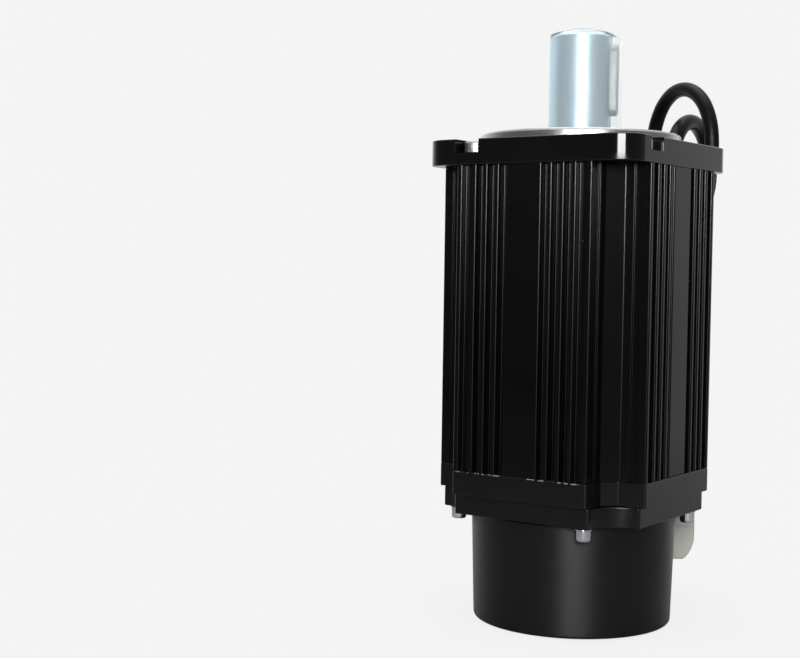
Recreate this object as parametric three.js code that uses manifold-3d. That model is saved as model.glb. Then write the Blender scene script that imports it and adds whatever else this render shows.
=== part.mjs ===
// Square-flange AC servo motor, 80 mm frame, standing on its rear cover with the shaft up.
// Frame: millimetres, +Z along the shaft, origin at the centre of the rear cover's base.
import * as THREE from 'three';
import { mergeVertices } from 'three/addons/utils/BufferGeometryUtils.js';
import Module from 'manifold-3d';

const wasm = await Module();
wasm.setup();

// ---- driving dimensions -------------------------------------------------
const GAP = 0.3;                 // clearance kept between pieces that touch
const FLANGE = 80;               // square mounting flange, across flats
const FLANGE_R = 9;              // its corner radius
const FLANGE_Z0 = 158.4;         // underside of the flange
const FLANGE_Z = 167.2;          // mounting face
const PILOT_D = 70;              // centring spigot
const PILOT_Z = 170.3;
const BOLT_PCD = 90;             // four mounting holes
const BOLT_HOLE_D = 6.6;
const BODY_W = 79.8;             // over the fin tips
const PANEL_INSET = 0.5;         // the flat panel of each side sits this far below the fin tips
const BODY_FLOOR = 36.4;         // from the axis to the root of the fins
const BODY_Z0 = 53.9;
const BODY_Z1 = 158.1;
const BODY_BORE_R = 33.2;
const POCKET_Q = 25.6;           // where the wrench pocket of each corner starts
const BELL_W = 80;             // rear end bell
const BELL_Z0 = 45.7;
const BELL_Z1 = 53.6;
const PLATE_W = 76.2;            // rear plate
const PLATE_Z0 = 38.8;
const PLATE_Z1 = 45.4;
const PLATE_NOTCH_R = 12.4;      // round corner notch of the rear plate
const COVER_H = 38.5;            // round encoder cover
const COVER_R_TOP = 36;
const COVER_R_BASE = 34.8;
const SCREW_A = 22;              // body screws sit at (A, B) and its quarter turns
const SCREW_B = 34;
const NOTCH_W = 9.4;             // screw notch in the flange
const NOTCH_Z = 162.4;
const SHAFT_D = 19;
const SHAFT_END = 205.3;         // 35 mm beyond the pilot face
const KEY_ANGLE = 28 * Math.PI / 180;
const KEY = { w: 6, h: 6, l: 25, z: 177.3 };
const CAP_R = 11.2;              // clear shaft cap
const CAP_TOP = 207;
const STATOR_R = 32.9, STATOR_BORE_R = 19.8, SLOTS = 12;
const STACK_Z0 = 72, STACK_Z1 = 132;
const POLES = 8, MAGNET_R = 19;
const FRONT_BRG = { D: 47, d: 20, B: 14, z: 147.0, ball: 3.75, pitch: 16.75 };
const REAR_BRG = { D: 35, d: 15, B: 11, z: 48.7, ball: 2.75, pitch: 12.5 };
const OUTLET_DIR = new THREE.Vector3(-0.342, 0.940, 0).normalize();  // both leads leave this way
const OUTLET_OFF = 7.5;
const OUTLET_Z = 20;
const POWER_LEAD_D = 5.4;
const ENCODER_LEAD_D = 6.0;
const PLUG_TURN = 34.8;          // degrees, the power plug hangs turned this far about its lead

// ---- small toolkit --------------------------------------------------------
function toManifold(geometry) {
  const g = geometry.clone();
  for (const k of Object.keys(g.attributes)) if (k !== 'position') g.deleteAttribute(k);
  const m = mergeVertices(g, 1e-4);
  const p = new Float32Array(m.attributes.position.array);
  let t = Array.from(m.index.array);
  const keep = [];
  for (let i = 0; i < t.length; i += 3) {
    if (t[i] !== t[i + 1] && t[i + 1] !== t[i + 2] && t[i] !== t[i + 2]) keep.push(t[i], t[i + 1], t[i + 2]);
  }
  t = keep;
  let v = 0;
  for (let i = 0; i < t.length; i += 3) {
    const [a, b, c] = [t[i] * 3, t[i + 1] * 3, t[i + 2] * 3];
    v += p[a] * (p[b + 1] * p[c + 2] - p[b + 2] * p[c + 1])
      - p[a + 1] * (p[b] * p[c + 2] - p[b + 2] * p[c])
      + p[a + 2] * (p[b] * p[c + 1] - p[b + 1] * p[c]);
  }
  if (v < 0) for (let i = 0; i < t.length; i += 3) [t[i + 1], t[i + 2]] = [t[i + 2], t[i + 1]];
  return new wasm.Manifold(new wasm.Mesh({ numProp: 3, vertProperties: p, triVerts: new Uint32Array(t) }));
}
function toGeometry(solid) {
  const m = solid.getMesh();
  const g = new THREE.BufferGeometry();
  g.setAttribute('position', new THREE.BufferAttribute(new Float32Array(m.vertProperties), 3));
  g.setIndex(Array.from(m.triVerts));
  g.computeVertexNormals();
  return g;
}
// a shape in XY pushed up from z0 to z1
function extrude(shape, z0, z1, curveSegments = 24) {
  const g = new THREE.ExtrudeGeometry(shape, { depth: z1 - z0, bevelEnabled: false, curveSegments, steps: 1 });
  g.translate(0, 0, z0);
  return toManifold(g);
}
const v2 = (x, y) => new THREE.Vector2(x, y);
function circlePath(r, n, x = 0, y = 0, a0 = 0) {
  const pts = [];
  for (let i = 0; i < n; i++) pts.push(v2(x + r * Math.cos(a0 + 2 * Math.PI * i / n), y + r * Math.sin(a0 + 2 * Math.PI * i / n)));
  return pts;
}
const rod = (r, z0, z1, n = 24, x = 0, y = 0, a0 = 0) => extrude(new THREE.Shape(circlePath(r, n, x, y, a0)), z0, z1);
function ring(ro, ri, z0, z1, n = 36) {
  const s = new THREE.Shape(circlePath(ro, n));
  s.holes.push(new THREE.Path(circlePath(ri, n)));
  return extrude(s, z0, z1);
}
// profile of [r, z] pairs turned about Z; first and last lie on the axis, or the profile closes on itself
function lathe(profile, n = 32) {
  const g = new THREE.LatheGeometry(profile.map(([r, z]) => v2(r, z)), n);
  g.rotateX(Math.PI / 2);
  return toManifold(g);
}
function box(x0, x1, y0, y1, z0, z1) {
  const g = new THREE.BoxGeometry(x1 - x0, y1 - y0, z1 - z0);
  g.translate((x0 + x1) / 2, (y0 + y1) / 2, (z0 + z1) / 2);
  return toManifold(g);
}
const root = new THREE.Group();
function add(name, solid, colour, roughness, metalness, extra = {}) {
  const mesh = new THREE.Mesh(toGeometry(solid), new THREE.MeshStandardMaterial({ color: colour, roughness, metalness, ...extra }));
  mesh.name = name;
  root.add(mesh);
  return mesh;
}
const quarter = (pts) => [0, 1, 2, 3].flatMap((k) => pts.map(([x, y]) => {
  for (let i = 0; i < k; i++) [x, y] = [-y, x];
  return [x, y];
}));
const shapeOf = (pts) => new THREE.Shape(pts.map(([x, y]) => v2(x, y)));
const turned = (x, y, k) => { for (let i = 0; i < k; i++) [x, y] = [-y, x]; return [x, y]; };
const deg = Math.PI / 180;

// ---- finned housing extrusion ---------------------------------------------
const W = BODY_W / 2, F = BODY_FLOOR;
const tips = [[-POCKET_Q, -23.6], [-19.9, -18.0], [-15.5, -13.6], [-11.0, -9.1], [-6.7, 6.7], [9.1, 11.0], [13.6, 15.5], [18.0, 19.9], [23.6, POCKET_Q]];
const face = [];
tips.forEach(([a, b], i) => {
  const level = i === 4 ? W - PANEL_INSET : W;   // the middle tip is the flat panel
  face.push([a, -level], [b, -level]);
  if (i < tips.length - 1) {
    const f = (i === 0 || i === tips.length - 2) ? 37.2 : F;
    face.push([b, -f], [tips[i + 1][0], -f]);
  }
});
const pocket = [[25.65, -36.2], [24.95, -36.2], [24.95, -33.9], [25.75, -33.9], [26, -30.8], [30.8, -26], [33.9, -25.75], [33.9, -24.95], [36.2, -24.95], [36.2, -25.65]];
const bodyShape = shapeOf(quarter([...face, ...pocket]));
bodyShape.holes.push(new THREE.Path(circlePath(BODY_BORE_R, 40)));
for (let k = 0; k < 4; k++) {
  for (const s of [-1, 1]) {
    const [x, y] = turned(s * SCREW_A, -SCREW_B, k);
    bodyShape.holes.push(new THREE.Path(circlePath(s < 0 ? 2.3 : 1.8, 8, x, y)));
  }
}
add('housing_extrusion', extrude(bodyShape, BODY_Z0, BODY_Z1), 0x0b0b0d, 0.38, 0.55);

// ---- front flange with pilot, bearing seat and seal seat --------------------
{
  const h = FLANGE / 2, r = FLANGE_R, s = new THREE.Shape();
  const corner = [];
  for (let i = 0; i <= 6; i++) {
    const a = (-90 + 90 * i / 6) * deg;
    corner.push([h - r + r * Math.cos(a), -(h - r) + r * Math.sin(a)]);
  }
  const outline = quarter(corner);
  outline.forEach(([x, y], i) => (i ? s.lineTo(x, y) : s.moveTo(x, y)));
  let f = extrude(s, FLANGE_Z0, FLANGE_Z);
  f = f.add(rod(PILOT_D / 2, FLANGE_Z0 + 1, PILOT_Z, 48));
  f = f.add(rod(BODY_BORE_R - GAP, 154.6, FLANGE_Z0 + 1, 40));
  f = f.add(rod(28, 145.4, 155, 24));
  f = f.subtract(rod(23.8, 145, 161.3, 28));
  f = f.subtract(rod(14, 161, 163, 20));
  f = f.subtract(rod(17.8, 162.7, 171, 28));
  for (let k = 0; k < 4; k++) {
    const [bx, by] = turned(BOLT_PCD / 2 * Math.SQRT1_2, -BOLT_PCD / 2 * Math.SQRT1_2, k);
    f = f.subtract(rod(BOLT_HOLE_D / 2, FLANGE_Z0 - 1, FLANGE_Z + 1, 14, bx, by));
    // open notch for the head of one body screw in each side
    const n = new THREE.Shape([v2(-SCREW_A - NOTCH_W / 2, -h - 2), v2(-SCREW_A + NOTCH_W / 2, -h - 2), v2(-SCREW_A + NOTCH_W / 2, -SCREW_B),
      ...Array.from({ length: 5 }, (_, i) => v2(-SCREW_A + NOTCH_W / 2 * Math.cos((i + 1) * 30 * deg), -SCREW_B + NOTCH_W / 2 * Math.sin((i + 1) * 30 * deg))),
      v2(-SCREW_A - NOTCH_W / 2, -SCREW_B)]);
    const cut = extrude(n, NOTCH_Z, FLANGE_Z + 1).rotate([0, 0, 90 * k]);
    f = f.subtract(cut);
    const [sx, sy] = turned(-SCREW_A, -SCREW_B, k);
    f = f.subtract(rod(2.3, FLANGE_Z0 - 1, NOTCH_Z + 1, 10, sx, sy));
  }
  add('front_flange', f, 0x08080a, 0.18, 0.5);
}

// ---- rear end bell and rear plate -------------------------------------------
function screwHoles(solid, z0, z1) {
  for (let k = 0; k < 4; k++) {
    const [x, y] = turned(SCREW_A, -SCREW_B, k);
    solid = solid.subtract(rod(1.8, z0, z1, 8, x, y));
  }
  return solid;
}
const COVER_POSTS = [30, 150, 270];
{
  const w = BELL_W / 2;
  const s = shapeOf(quarter([[-POCKET_Q, -w], [POCKET_Q, -w], [26.2, -30.5], [30.5, -26.2]]));
  let b = extrude(s, BELL_Z0, BELL_Z1);
  b = b.add(ring(BODY_BORE_R - GAP, 29.5, BELL_Z1 - 0.5, 57.2, 40));
  b = b.add(rod(21.5, BELL_Z1 - 0.5, 60, 24));
  b = b.subtract(rod(17.8, 47, 61, 24));
  b = b.subtract(rod(12.5, 45, 48, 16));
  b = screwHoles(b, 45, 58);
  b = b.subtract(rod(2.6, 45, 58, 8, -8.6, 23.8));
  add('rear_end_bell', b, 0x111112, 0.55, 0.3);
}
{
  const w = PLATE_W / 2, r = PLATE_NOTCH_R, pts = [[-w + r, -w]];
  for (let i = 0; i <= 8; i++) {
    const a = (180 - 90 * i / 8) * deg;
    pts.push([w + r * Math.cos(a), -w + r * Math.sin(a)]);
  }
  // the last point of each side is the first of the next one
  pts.pop();
  let p = extrude(shapeOf(quarter(pts.slice(1))), PLATE_Z0, PLATE_Z1);
  p = p.subtract(rod(12.5, 38, 46, 16));
  p = screwHoles(p, 38, 46);
  for (const a of COVER_POSTS) p = p.subtract(rod(1.8, 38, 44.2, 10, 30 * Math.cos(a * deg), 30 * Math.sin(a * deg)));
  p = p.subtract(rod(2.6, 38, 46, 8, -8.6, 23.8));
  add('rear_plate', p, 0x111112, 0.55, 0.3);
}

// ---- round encoder cover -------------------------------------------------------
const outletFrame = new THREE.Matrix4().makeBasis(
  OUTLET_DIR, new THREE.Vector3(-OUTLET_DIR.y, OUTLET_DIR.x, 0), new THREE.Vector3(0, 0, 1));
function toOutlet(geometry, off) {           // local X runs out of the cover
  geometry.applyMatrix4(new THREE.Matrix4().makeTranslation(0, -off, OUTLET_Z));
  geometry.applyMatrix4(outletFrame);
  return toManifold(geometry);
}
{
  let c = lathe([[0, 0], [33.3, 0], [34.3, 0.45], [COVER_R_BASE, 1.6], [COVER_R_TOP, COVER_H], [33.7, COVER_H], [32.7, 3], [0, 3]], 48);
  for (const a of COVER_POSTS) {
    const x = 30 * Math.cos(a * deg), y = 30 * Math.sin(a * deg);
    c = c.add(rod(3.4, 1.5, COVER_H - 0.2, 10, x, y));
  }
  // flat pad for the two lead outlets
  const pad = new THREE.BoxGeometry(8.5, 31, 18);
  pad.translate(32.55, 0, 0);
  c = c.add(toOutlet(pad, 0));
  for (const a of COVER_POSTS) {
    const x = 30 * Math.cos(a * deg), y = 30 * Math.sin(a * deg);
    c = c.subtract(rod(1.8, -1, COVER_H + 1, 8, x, y)).subtract(rod(3.1, -1, 3.3, 10, x, y));
  }
  for (const s of [-1, 1]) {
    const hole = new THREE.CylinderGeometry(4.5, 4.5, 20, 12);
    hole.rotateZ(Math.PI / 2);
    hole.translate(33, 0, 0);
    c = c.subtract(toOutlet(hole, s * OUTLET_OFF));
  }
  add('encoder_cover', c, 0x141416, 0.5, 0.05);
}
add('housing_o_ring', ring(32.8, 30.8, 152.8, 154.3, 28), 0x1b1b1b, 0.8, 0);

// ---- screws ----------------------------------------------------------------------
function capScrew(headR, headH, socketR, shankR, length, extraRings = []) {
  // head stands above z = 0, shank goes down
  let s = rod(headR, 0, headH, 14).add(rod(shankR, -length, 0.4, 8));
  for (const [r, z0, z1] of extraRings) s = s.add(rod(r, z0, z1, 14));
  return s.subtract(rod(socketR, headH - headH * 0.5, headH + 1, 6));
}
for (let k = 0; k < 4; k++) {
  const [x, y] = turned(-SCREW_A, -SCREW_B, k);
  add(`flange_screw_${k + 1}`, capScrew(3.5, 4, 1.73, 2.0, 13.5).translate([x, y, NOTCH_Z + GAP]), 0xb9bcc2, 0.3, 0.9);
}
for (let k = 0; k < 4; k++) {
  const [x, y] = turned(SCREW_A, -SCREW_B, k);
  add(`rear_screw_${k + 1}`, capScrew(2.75, 3.3 + 1.5, 1.44, 1.5, 26, [[3.2, 0, 0.5], [2.6, 0.45, 1.6]])
    .rotate([180, 0, 0]).translate([x, y, PLATE_Z0 - GAP]), 0xb9bcc2, 0.3, 0.9);
}
COVER_POSTS.forEach((a, i) => {
  add(`cover_screw_${i + 1}`, capScrew(2.75, 2.5, 1.3, 1.5, 39).rotate([180, 0, 0])
    .translate([30 * Math.cos(a * deg), 30 * Math.sin(a * deg), 3.0]), 0x8d9096, 0.35, 0.9);
});

// ---- stator -------------------------------------------------------------------------
const slotInner = [];
for (let k = 0; k < SLOTS; k++) {
  for (const [r, a] of [[STATOR_BORE_R, -2.9], [21.2, -2.9], [22, -7.2], [28.8, -9.0], [28.8, 9.0], [22, 7.2], [21.2, 2.9], [STATOR_BORE_R, 2.9], [STATOR_BORE_R + 0.02, 15]]) {
    const t = (k * 30 + a) * deg;
    slotInner.push(v2(r * Math.cos(t), r * Math.sin(t)));
  }
}
function slotted(ro, z0, z1, n) {
  const s = new THREE.Shape(circlePath(ro, n));
  s.holes.push(new THREE.Path(slotInner));
  return extrude(s, z0, z1);
}
add('stator_core', slotted(STATOR_R, STACK_Z0, STACK_Z1, 36), 0x6f7276, 0.5, 0.8);
add('slot_insulator_front', ring(31.6, 28.9, STACK_Z1 + GAP, STACK_Z1 + 2, 24), 0xe8e4da, 0.6, 0);
add('slot_insulator_rear', ring(31.6, 28.9, STACK_Z0 - 2, STACK_Z0 - GAP, 24), 0xe8e4da, 0.6, 0);
{
  let w = ring(30.4, 22.4, STACK_Z1 + 2.3, 142.1, 24).add(ring(30.4, 22.4, 61.9, STACK_Z0 - 2.3, 24));
  for (let k = 0; k < SLOTS; k++) {
    const pts = [[22.5, -6.0], [28.4, -8.0], [28.4, 8.0], [22.5, 6.0]].map(([r, a]) => v2(r * Math.cos((k * 30 + a) * deg), r * Math.sin((k * 30 + a) * deg)));
    w = w.add(extrude(new THREE.Shape(pts), 65, 139));
  }
  add('stator_winding', w, 0xb5652b, 0.4, 0.7);
}

// ---- rotor -----------------------------------------------------------------------------
{
  let s = lathe([[0, 27.5], [3.6, 27.5], [4, 27.9], [4, 44], [7.5, 44], [7.5, 61], [11, 61], [11, 146.5], [10, 146.5], [10, 171],
    [SHAFT_D / 2, 171], [SHAFT_D / 2, SHAFT_END - 0.8], [SHAFT_D / 2 - 0.8, SHAFT_END], [0, SHAFT_END]], 28);
  const slot = new THREE.Shape();
  const l = KEY.l / 2 + 0.25, w = KEY.w / 2 + 0.25;
  slot.moveTo(-(l - w), -w); slot.lineTo(l - w, -w); slot.absarc(l - w, 0, w, -Math.PI / 2, Math.PI / 2, false);
  slot.lineTo(-(l - w), w); slot.absarc(-(l - w), 0, w, Math.PI / 2, 1.5 * Math.PI, false);
  const cut = new THREE.ExtrudeGeometry(slot, { depth: 8, bevelEnabled: false, curveSegments: 4 });
  cut.rotateY(Math.PI / 2);                       // long side along Z, depth along X
  cut.translate(SHAFT_D / 2 - 3.8, 0, KEY.z + KEY.l / 2);
  cut.rotateZ(KEY_ANGLE);
  s = s.subtract(toManifold(cut));
  s = s.subtract(rod(2.5, SHAFT_END - 16, SHAFT_END + 1, 8));
  add('shaft', s, 0xc9ccd0, 0.22, 1);

  const k = new THREE.Shape(), kl = KEY.l / 2, kw = KEY.w / 2;
  k.moveTo(-(kl - kw), -kw); k.lineTo(kl - kw, -kw); k.absarc(kl - kw, 0, kw, -Math.PI / 2, Math.PI / 2, false);
  k.lineTo(-(kl - kw), kw); k.absarc(-(kl - kw), 0, kw, Math.PI / 2, 1.5 * Math.PI, false);
  const key = new THREE.ExtrudeGeometry(k, { depth: KEY.h, bevelEnabled: false, curveSegments: 4 });
  key.rotateY(Math.PI / 2);
  key.translate(SHAFT_D / 2 - 3.5, 0, KEY.z + KEY.l / 2);
  key.rotateZ(KEY_ANGLE);
  add('shaft_key', toManifold(key), 0xa9acb0, 0.3, 1);
}
add('rotor_core', ring(16, 11.3, 73, 131, 24), 0x6f7276, 0.5, 0.8);
add('rotor_end_ring_front', ring(17.5, 11.3, 131.3, 134, 20), 0xb08d4a, 0.4, 0.9);
add('rotor_end_ring_rear', ring(17.5, 11.3, 70, 72.7, 20), 0xb08d4a, 0.4, 0.9);
for (let k = 0; k < POLES; k++) {
  const a0 = (k * 45 - 20) * deg, pts = [];
  for (let i = 0; i <= 3; i++) pts.push(v2(MAGNET_R * Math.cos(a0 + i * 40 / 3 * deg), MAGNET_R * Math.sin(a0 + i * 40 / 3 * deg)));
  for (let i = 3; i >= 0; i--) pts.push(v2(16.45 * Math.cos(a0 + i * 40 / 3 * deg), 16.45 * Math.sin(a0 + i * 40 / 3 * deg)));
  add(`magnet_${k + 1}`, extrude(new THREE.Shape(pts), 73.3, 130.7), 0x4a4c50, 0.4, 0.8);
}

// ---- bearings ---------------------------------------------------------------------------
function bearing(prefix, b) {
  const ro = b.D / 2, ri = b.d / 2 + GAP, z0 = b.z, z1 = b.z + b.B, zm = (z0 + z1) / 2, g = b.ball + 0.6;
  const landO = b.pitch + b.ball * 0.72, landI = b.pitch - b.ball * 0.72;
  const half = Math.sqrt(g * g - (landO - b.pitch) ** 2);
  const arc = (sign) => [-1, -0.45, 0.45, 1].map((t) => {
    const z = half * t;
    return [b.pitch + sign * Math.sqrt(g * g - z * z), zm + z];
  });
  add(`${prefix}_bearing_outer_ring`, lathe([[ro, z0], [ro, z1], [landO, z1], ...arc(1).reverse(), [landO, z0], [ro, z0]], 20), 0xc4c7cb, 0.2, 1);
  add(`${prefix}_bearing_inner_ring`, lathe([[ri, z0], [landI, z0], ...arc(-1), [landI, z1], [ri, z1], [ri, z0]], 20), 0xc4c7cb, 0.2, 1);
  let balls = ring(b.pitch + b.ball * 0.3, b.pitch - b.ball * 0.3, zm - b.ball * 0.3, zm + b.ball * 0.3, 16);
  for (let i = 0; i < 8; i++) {
    const s = new THREE.SphereGeometry(b.ball, 7, 4);
    s.rotateX(Math.PI / 2);
    s.translate(b.pitch * Math.cos(i * 45 * deg), b.pitch * Math.sin(i * 45 * deg), zm);
    balls = balls.add(toManifold(s));
  }
  add(`${prefix}_bearing_ball_cage`, balls, 0xb08d4a, 0.3, 0.9);
}
bearing('front', FRONT_BRG);
bearing('rear', REAR_BRG);
add('bearing_retaining_ring', ring(23.5, 20.4, 145.6, 146.7, 24), 0x55575a, 0.4, 0.9);
add('rear_wave_spring', ring(17.3, 13.6, 47.3, 48.4, 20), 0x8a8d92, 0.35, 0.9);
add('shaft_oil_seal', lathe([[10.3, 164.4], [11.6, 163], [17.5, 163], [17.5, 169.9], [11.4, 169.9], [10.6, 167.6], [10.3, 164.4]], 24), 0x1d1a18, 0.7, 0);

// ---- encoder -------------------------------------------------------------------------------
add('encoder_hub', ring(8.6, 4.3, 31.6, 37.4, 16), 0xb9bcc2, 0.35, 0.9);
add('encoder_disc', ring(17, 4.3, 30.1, 31.3, 24), 0x9aa4ac, 0.15, 0.3);
{
  let base = ring(24.6, 20.6, 25.9, 38.5, 24);
  for (const a of [75, 255]) base = base.subtract(rod(1.3, 25, 34, 8, 22.6 * Math.cos(a * deg), 22.6 * Math.sin(a * deg)));
  base = base.subtract(rod(2.6, 25, 40, 8, -8.6, 23.8));
  add('encoder_base', base, 0x2b2b2e, 0.6, 0.1);
  let board = rod(24.6, 24, 25.6, 24);
  for (const a of [75, 255]) board = board.subtract(rod(1.3, 23, 27, 8, 22.6 * Math.cos(a * deg), 22.6 * Math.sin(a * deg)));
  add('encoder_board', board, 0x1f6b3a, 0.5, 0.1);
  [75, 255].forEach((a, i) => add(`encoder_screw_${i + 1}`, rod(2.1, 0, 1.6, 10).add(rod(1, -8, 0.3, 8)).subtract(rod(0.8, 0.8, 3, 6)).rotate([180, 0, 0])
    .translate([22.6 * Math.cos(a * deg), 22.6 * Math.sin(a * deg), 23.7]), 0xb9bcc2, 0.35, 0.9));
  add('encoder_reader', box(11, 18.4, -5, 5, 25.9, 29.8), 0x17181a, 0.5, 0.1);
  add('board_connector', box(-14, -4, -5, 5, 17, 23.7).subtract(box(-13, -5, -4, 4, 16, 21)), 0xe9e6dc, 0.55, 0);
}

// ---- leads, strain reliefs and connectors -----------------------------------------------------
function relief(off, cableR) {
  const g = new THREE.LatheGeometry([[0, 0], [4.2, 0], [4.2, 8.8], [6.3, 8.8], [6.3, 10.6], [5.0, 10.9], [4.2, 18], [cableR + 0.9, 29.7], [0, 29.7]].map(([r, z]) => v2(r, z)), 12);
  g.rotateZ(-Math.PI / 2);                        // axis along +X
  g.translate(28.3, 0, 0);
  return toOutlet(g, off);
}
add('power_strain_relief', relief(-OUTLET_OFF, POWER_LEAD_D / 2), 0x131313, 0.6, 0);
add('encoder_strain_relief', relief(OUTLET_OFF, ENCODER_LEAD_D / 2), 0x131313, 0.6, 0);

const POWER_ROUTE = [
  [-26.99, 52.24, 20], [-30.2, 61.06, 20.39], [-33.19, 69.27, 23.62], [-35.4, 75.4, 30.31], [-36.53, 78.35, 39.09], [-35.75, 78.13, 48.41],
  [-33.27, 76, 57.21], [-30.06, 73.35, 65.64], [-26.44, 70.78, 73.93], [-22.24, 68.2, 81.94], [-17.37, 65.55, 89.53], [-12.35, 63.07, 97.08],
  [-7.96, 61.19, 105.18], [-4.99, 60.4, 114.04], [-3.68, 60.93, 123.32], [-3.25, 62.12, 132.64], [-2.81, 63.2, 141.97], [-2.44, 64.01, 151.34],
  [-2.46, 64.58, 160.72], [-2.3, 64.65, 170.12], [-0.71, 63.72, 179.7], [3.9, 60.75, 187.3], [10.8, 56.3, 191.3], [18.6, 51.4, 190.8],
  [25.4, 47.2, 186.0], [29.6, 44.65, 178.0], [30.8, 43.95, 168.6], [29.9, 44.0, 159.1], [27.4, 44.8, 149.93], [24.6, 46.1, 141.26],
  [20.62, 47.7, 133.54], [14.62, 50.1, 126.72], [9.2, 52.45, 119.42], [6.19, 53.94, 110.69], [5.47, 54.66, 101.36], [6.06, 55.06, 91.98],
  [7.13, 55.41, 82.65], [8.23, 55.79, 73.32], [9.19, 56.03, 63.96], [9.91, 56.07, 54.59], [10.5, 56, 45.2],
];
const ENCODER_ROUTE = [
  [-12.89, 57.37, 20], [-16.17, 66.4, 20.41], [-19.26, 74.88, 23.56], [-21.62, 81.42, 30.14], [-23.02, 85.04, 38.88], [-22.53, 85.24, 48.41],
  [-19.84, 82.79, 57.31], [-16.3, 79.31, 65.56], [-12.59, 75.68, 73.67], [-8.68, 72.05, 81.69], [-4.55, 68.48, 89.63], [-0.7, 65.22, 97.82],
  [2.04, 62.66, 106.68], [3.72, 62.35, 116.09], [5.36, 65.74, 124.91], [7.22, 71.04, 132.73], [9.32, 76.87, 140.09], [11.19, 82.03, 147.99],
  [12.36, 85.17, 156.98], [12.68, 84.68, 166.51], [12.73, 79.84, 174.72], [12.96, 71.67, 179.62], [13.2, 62.15, 180.05], [13.41, 53.55, 175.93],
  [13.59, 48.07, 168.16], [13.51, 46.4, 158.71], [12.43, 46.39, 149.15], [10.13, 47.37, 139.86], [6.56, 49.17, 131.11], [2.11, 51.51, 122.89],
  [-1.01, 53.24, 114], [-1.82, 53.98, 104.43], [-2.71, 54.89, 94.89], [-4.75, 55.86, 85.53], [-6.64, 56.46, 76.12], [-7, 56.5, 66.5],
];
function lead(points, dia, sides) {
  const curve = new THREE.CatmullRomCurve3(points.map((p) => new THREE.Vector3(...p)), false, 'centripetal');
  const s = new THREE.Shape(circlePath(dia / 2, sides));
  return toManifold(new THREE.ExtrudeGeometry(s, { steps: points.length - 1, bevelEnabled: false, extrudePath: curve }));
}
add('power_lead', lead(POWER_ROUTE, POWER_LEAD_D, 8), 0x101011, 0.45, 0);
add('encoder_lead', lead(ENCODER_ROUTE, ENCODER_LEAD_D, 8), 0x101011, 0.45, 0);

// rounded plug bodies, flat sides facing the motor
function plug(x0, x1, y0, y1, z0, z1, rx, rz) {
  const s = new THREE.Shape();
  s.moveTo(x0 + rx, z0); s.lineTo(x1 - rx, z0); s.quadraticCurveTo(x1 - rx * 0.28, z0 + rz * 0.25, x1, z0 + rz);
  s.lineTo(x1, z1 - 1); s.lineTo(x1 - 1, z1); s.lineTo(x0 + 1, z1); s.lineTo(x0, z1 - 1);
  s.lineTo(x0, z0 + rz); s.quadraticCurveTo(x0 + rx * 0.28, z0 + rz * 0.25, x0 + rx, z0);
  const g = new THREE.ExtrudeGeometry(s, { depth: y1 - y0, bevelEnabled: false, curveSegments: 5 });
  g.rotateX(Math.PI / 2);
  g.translate(0, y1, 0);
  return toManifold(g);
}
{
  let p = plug(-7, 9.8, -7, 7, 13.9, 44.9, 4.2, 8.6);
  p = p.subtract(box(-2.2, 5.0, -5.2, 5.2, 12, 22));
  add('power_connector', p.rotate([0, 0, PLUG_TURN]).translate([10.5, 56, 0]), 0xb9b6a8, 0.55, 0);
  let q = plug(-16.4, -0.2, 49.5, 63.5, 34, 66.2, 1.6, 2.4);
  for (const x of [-14.6, -10.0, -5.4]) for (const y of [51.2, 57.2]) q = q.subtract(box(x, x + 3.4, y, y + 4.6, 33, 43));
  add('encoder_connector', q, 0xd8d4c6, 0.55, 0);
}
{
  // band round the four runs of the two leads
  const inner = [[-4.94, 51.20], [-3.40, 49.66], [-1.30, 49.10], [6.90, 50.00], [8.75, 50.50], [10.10, 51.85], [10.60, 53.70], [10.10, 55.55], [7.04, 64.30], [5.50, 65.84], [3.00, 66.40], [-5.80, 64.20], [-7.65, 63.70], [-9.00, 62.35], [-9.50, 60.50], [-9.00, 58.65]];
  const outer = [[-6.06, 50.55], [-4.05, 48.54], [-1.30, 47.80], [6.90, 48.70], [9.40, 49.37], [11.23, 51.20], [11.90, 53.70], [11.23, 56.20], [8.16, 64.95], [6.15, 66.96], [3.00, 67.70], [-5.80, 65.50], [-8.30, 64.83], [-10.13, 63.00], [-10.80, 60.50], [-10.13, 58.00]];
  const s = shapeOf(outer);
  s.holes.push(new THREE.Path(inner.map(([x, y]) => v2(x, y))));
  add('cable_tie', extrude(s, 109.8, 114.2).add(box(8.2, 13, 57.5, 62.5, 109.4, 114.6)), 0x1a1a1a, 0.5, 0);
}

// ---- clear shaft cap --------------------------------------------------------------------------
{
  const bump = (r, cx, z0, z1) => rod(r, z0, z1, 16, cx, 0);
  let c = rod(CAP_R, 171.2, CAP_TOP, 28).add(bump(5.2, 8.9, 171.2, CAP_TOP - 2));
  c = c.subtract(rod(SHAFT_D / 2 + GAP + 0.1, 170, SHAFT_END + GAP, 28));
  c = c.subtract(box(4, 12.4, -3.3, 3.3, 170, KEY.z + KEY.l + 0.5));
  add('shaft_cap', c.rotate([0, 0, KEY_ANGLE / deg]), 0xdfe8ec, 0.1, 0, { transparent: true, opacity: 0.35 });
}

// ---- blank rating plate on the left side panel --------------------------------------------------
add('rating_plate', box(-W, -W + PANEL_INSET - GAP / 2, -6.2, 6.2, 84, 124), 0x9a9da2, 0.4, 0.8);

export default root;
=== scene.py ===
import bpy, bmesh, math
from mathutils import Vector, Matrix


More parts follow.
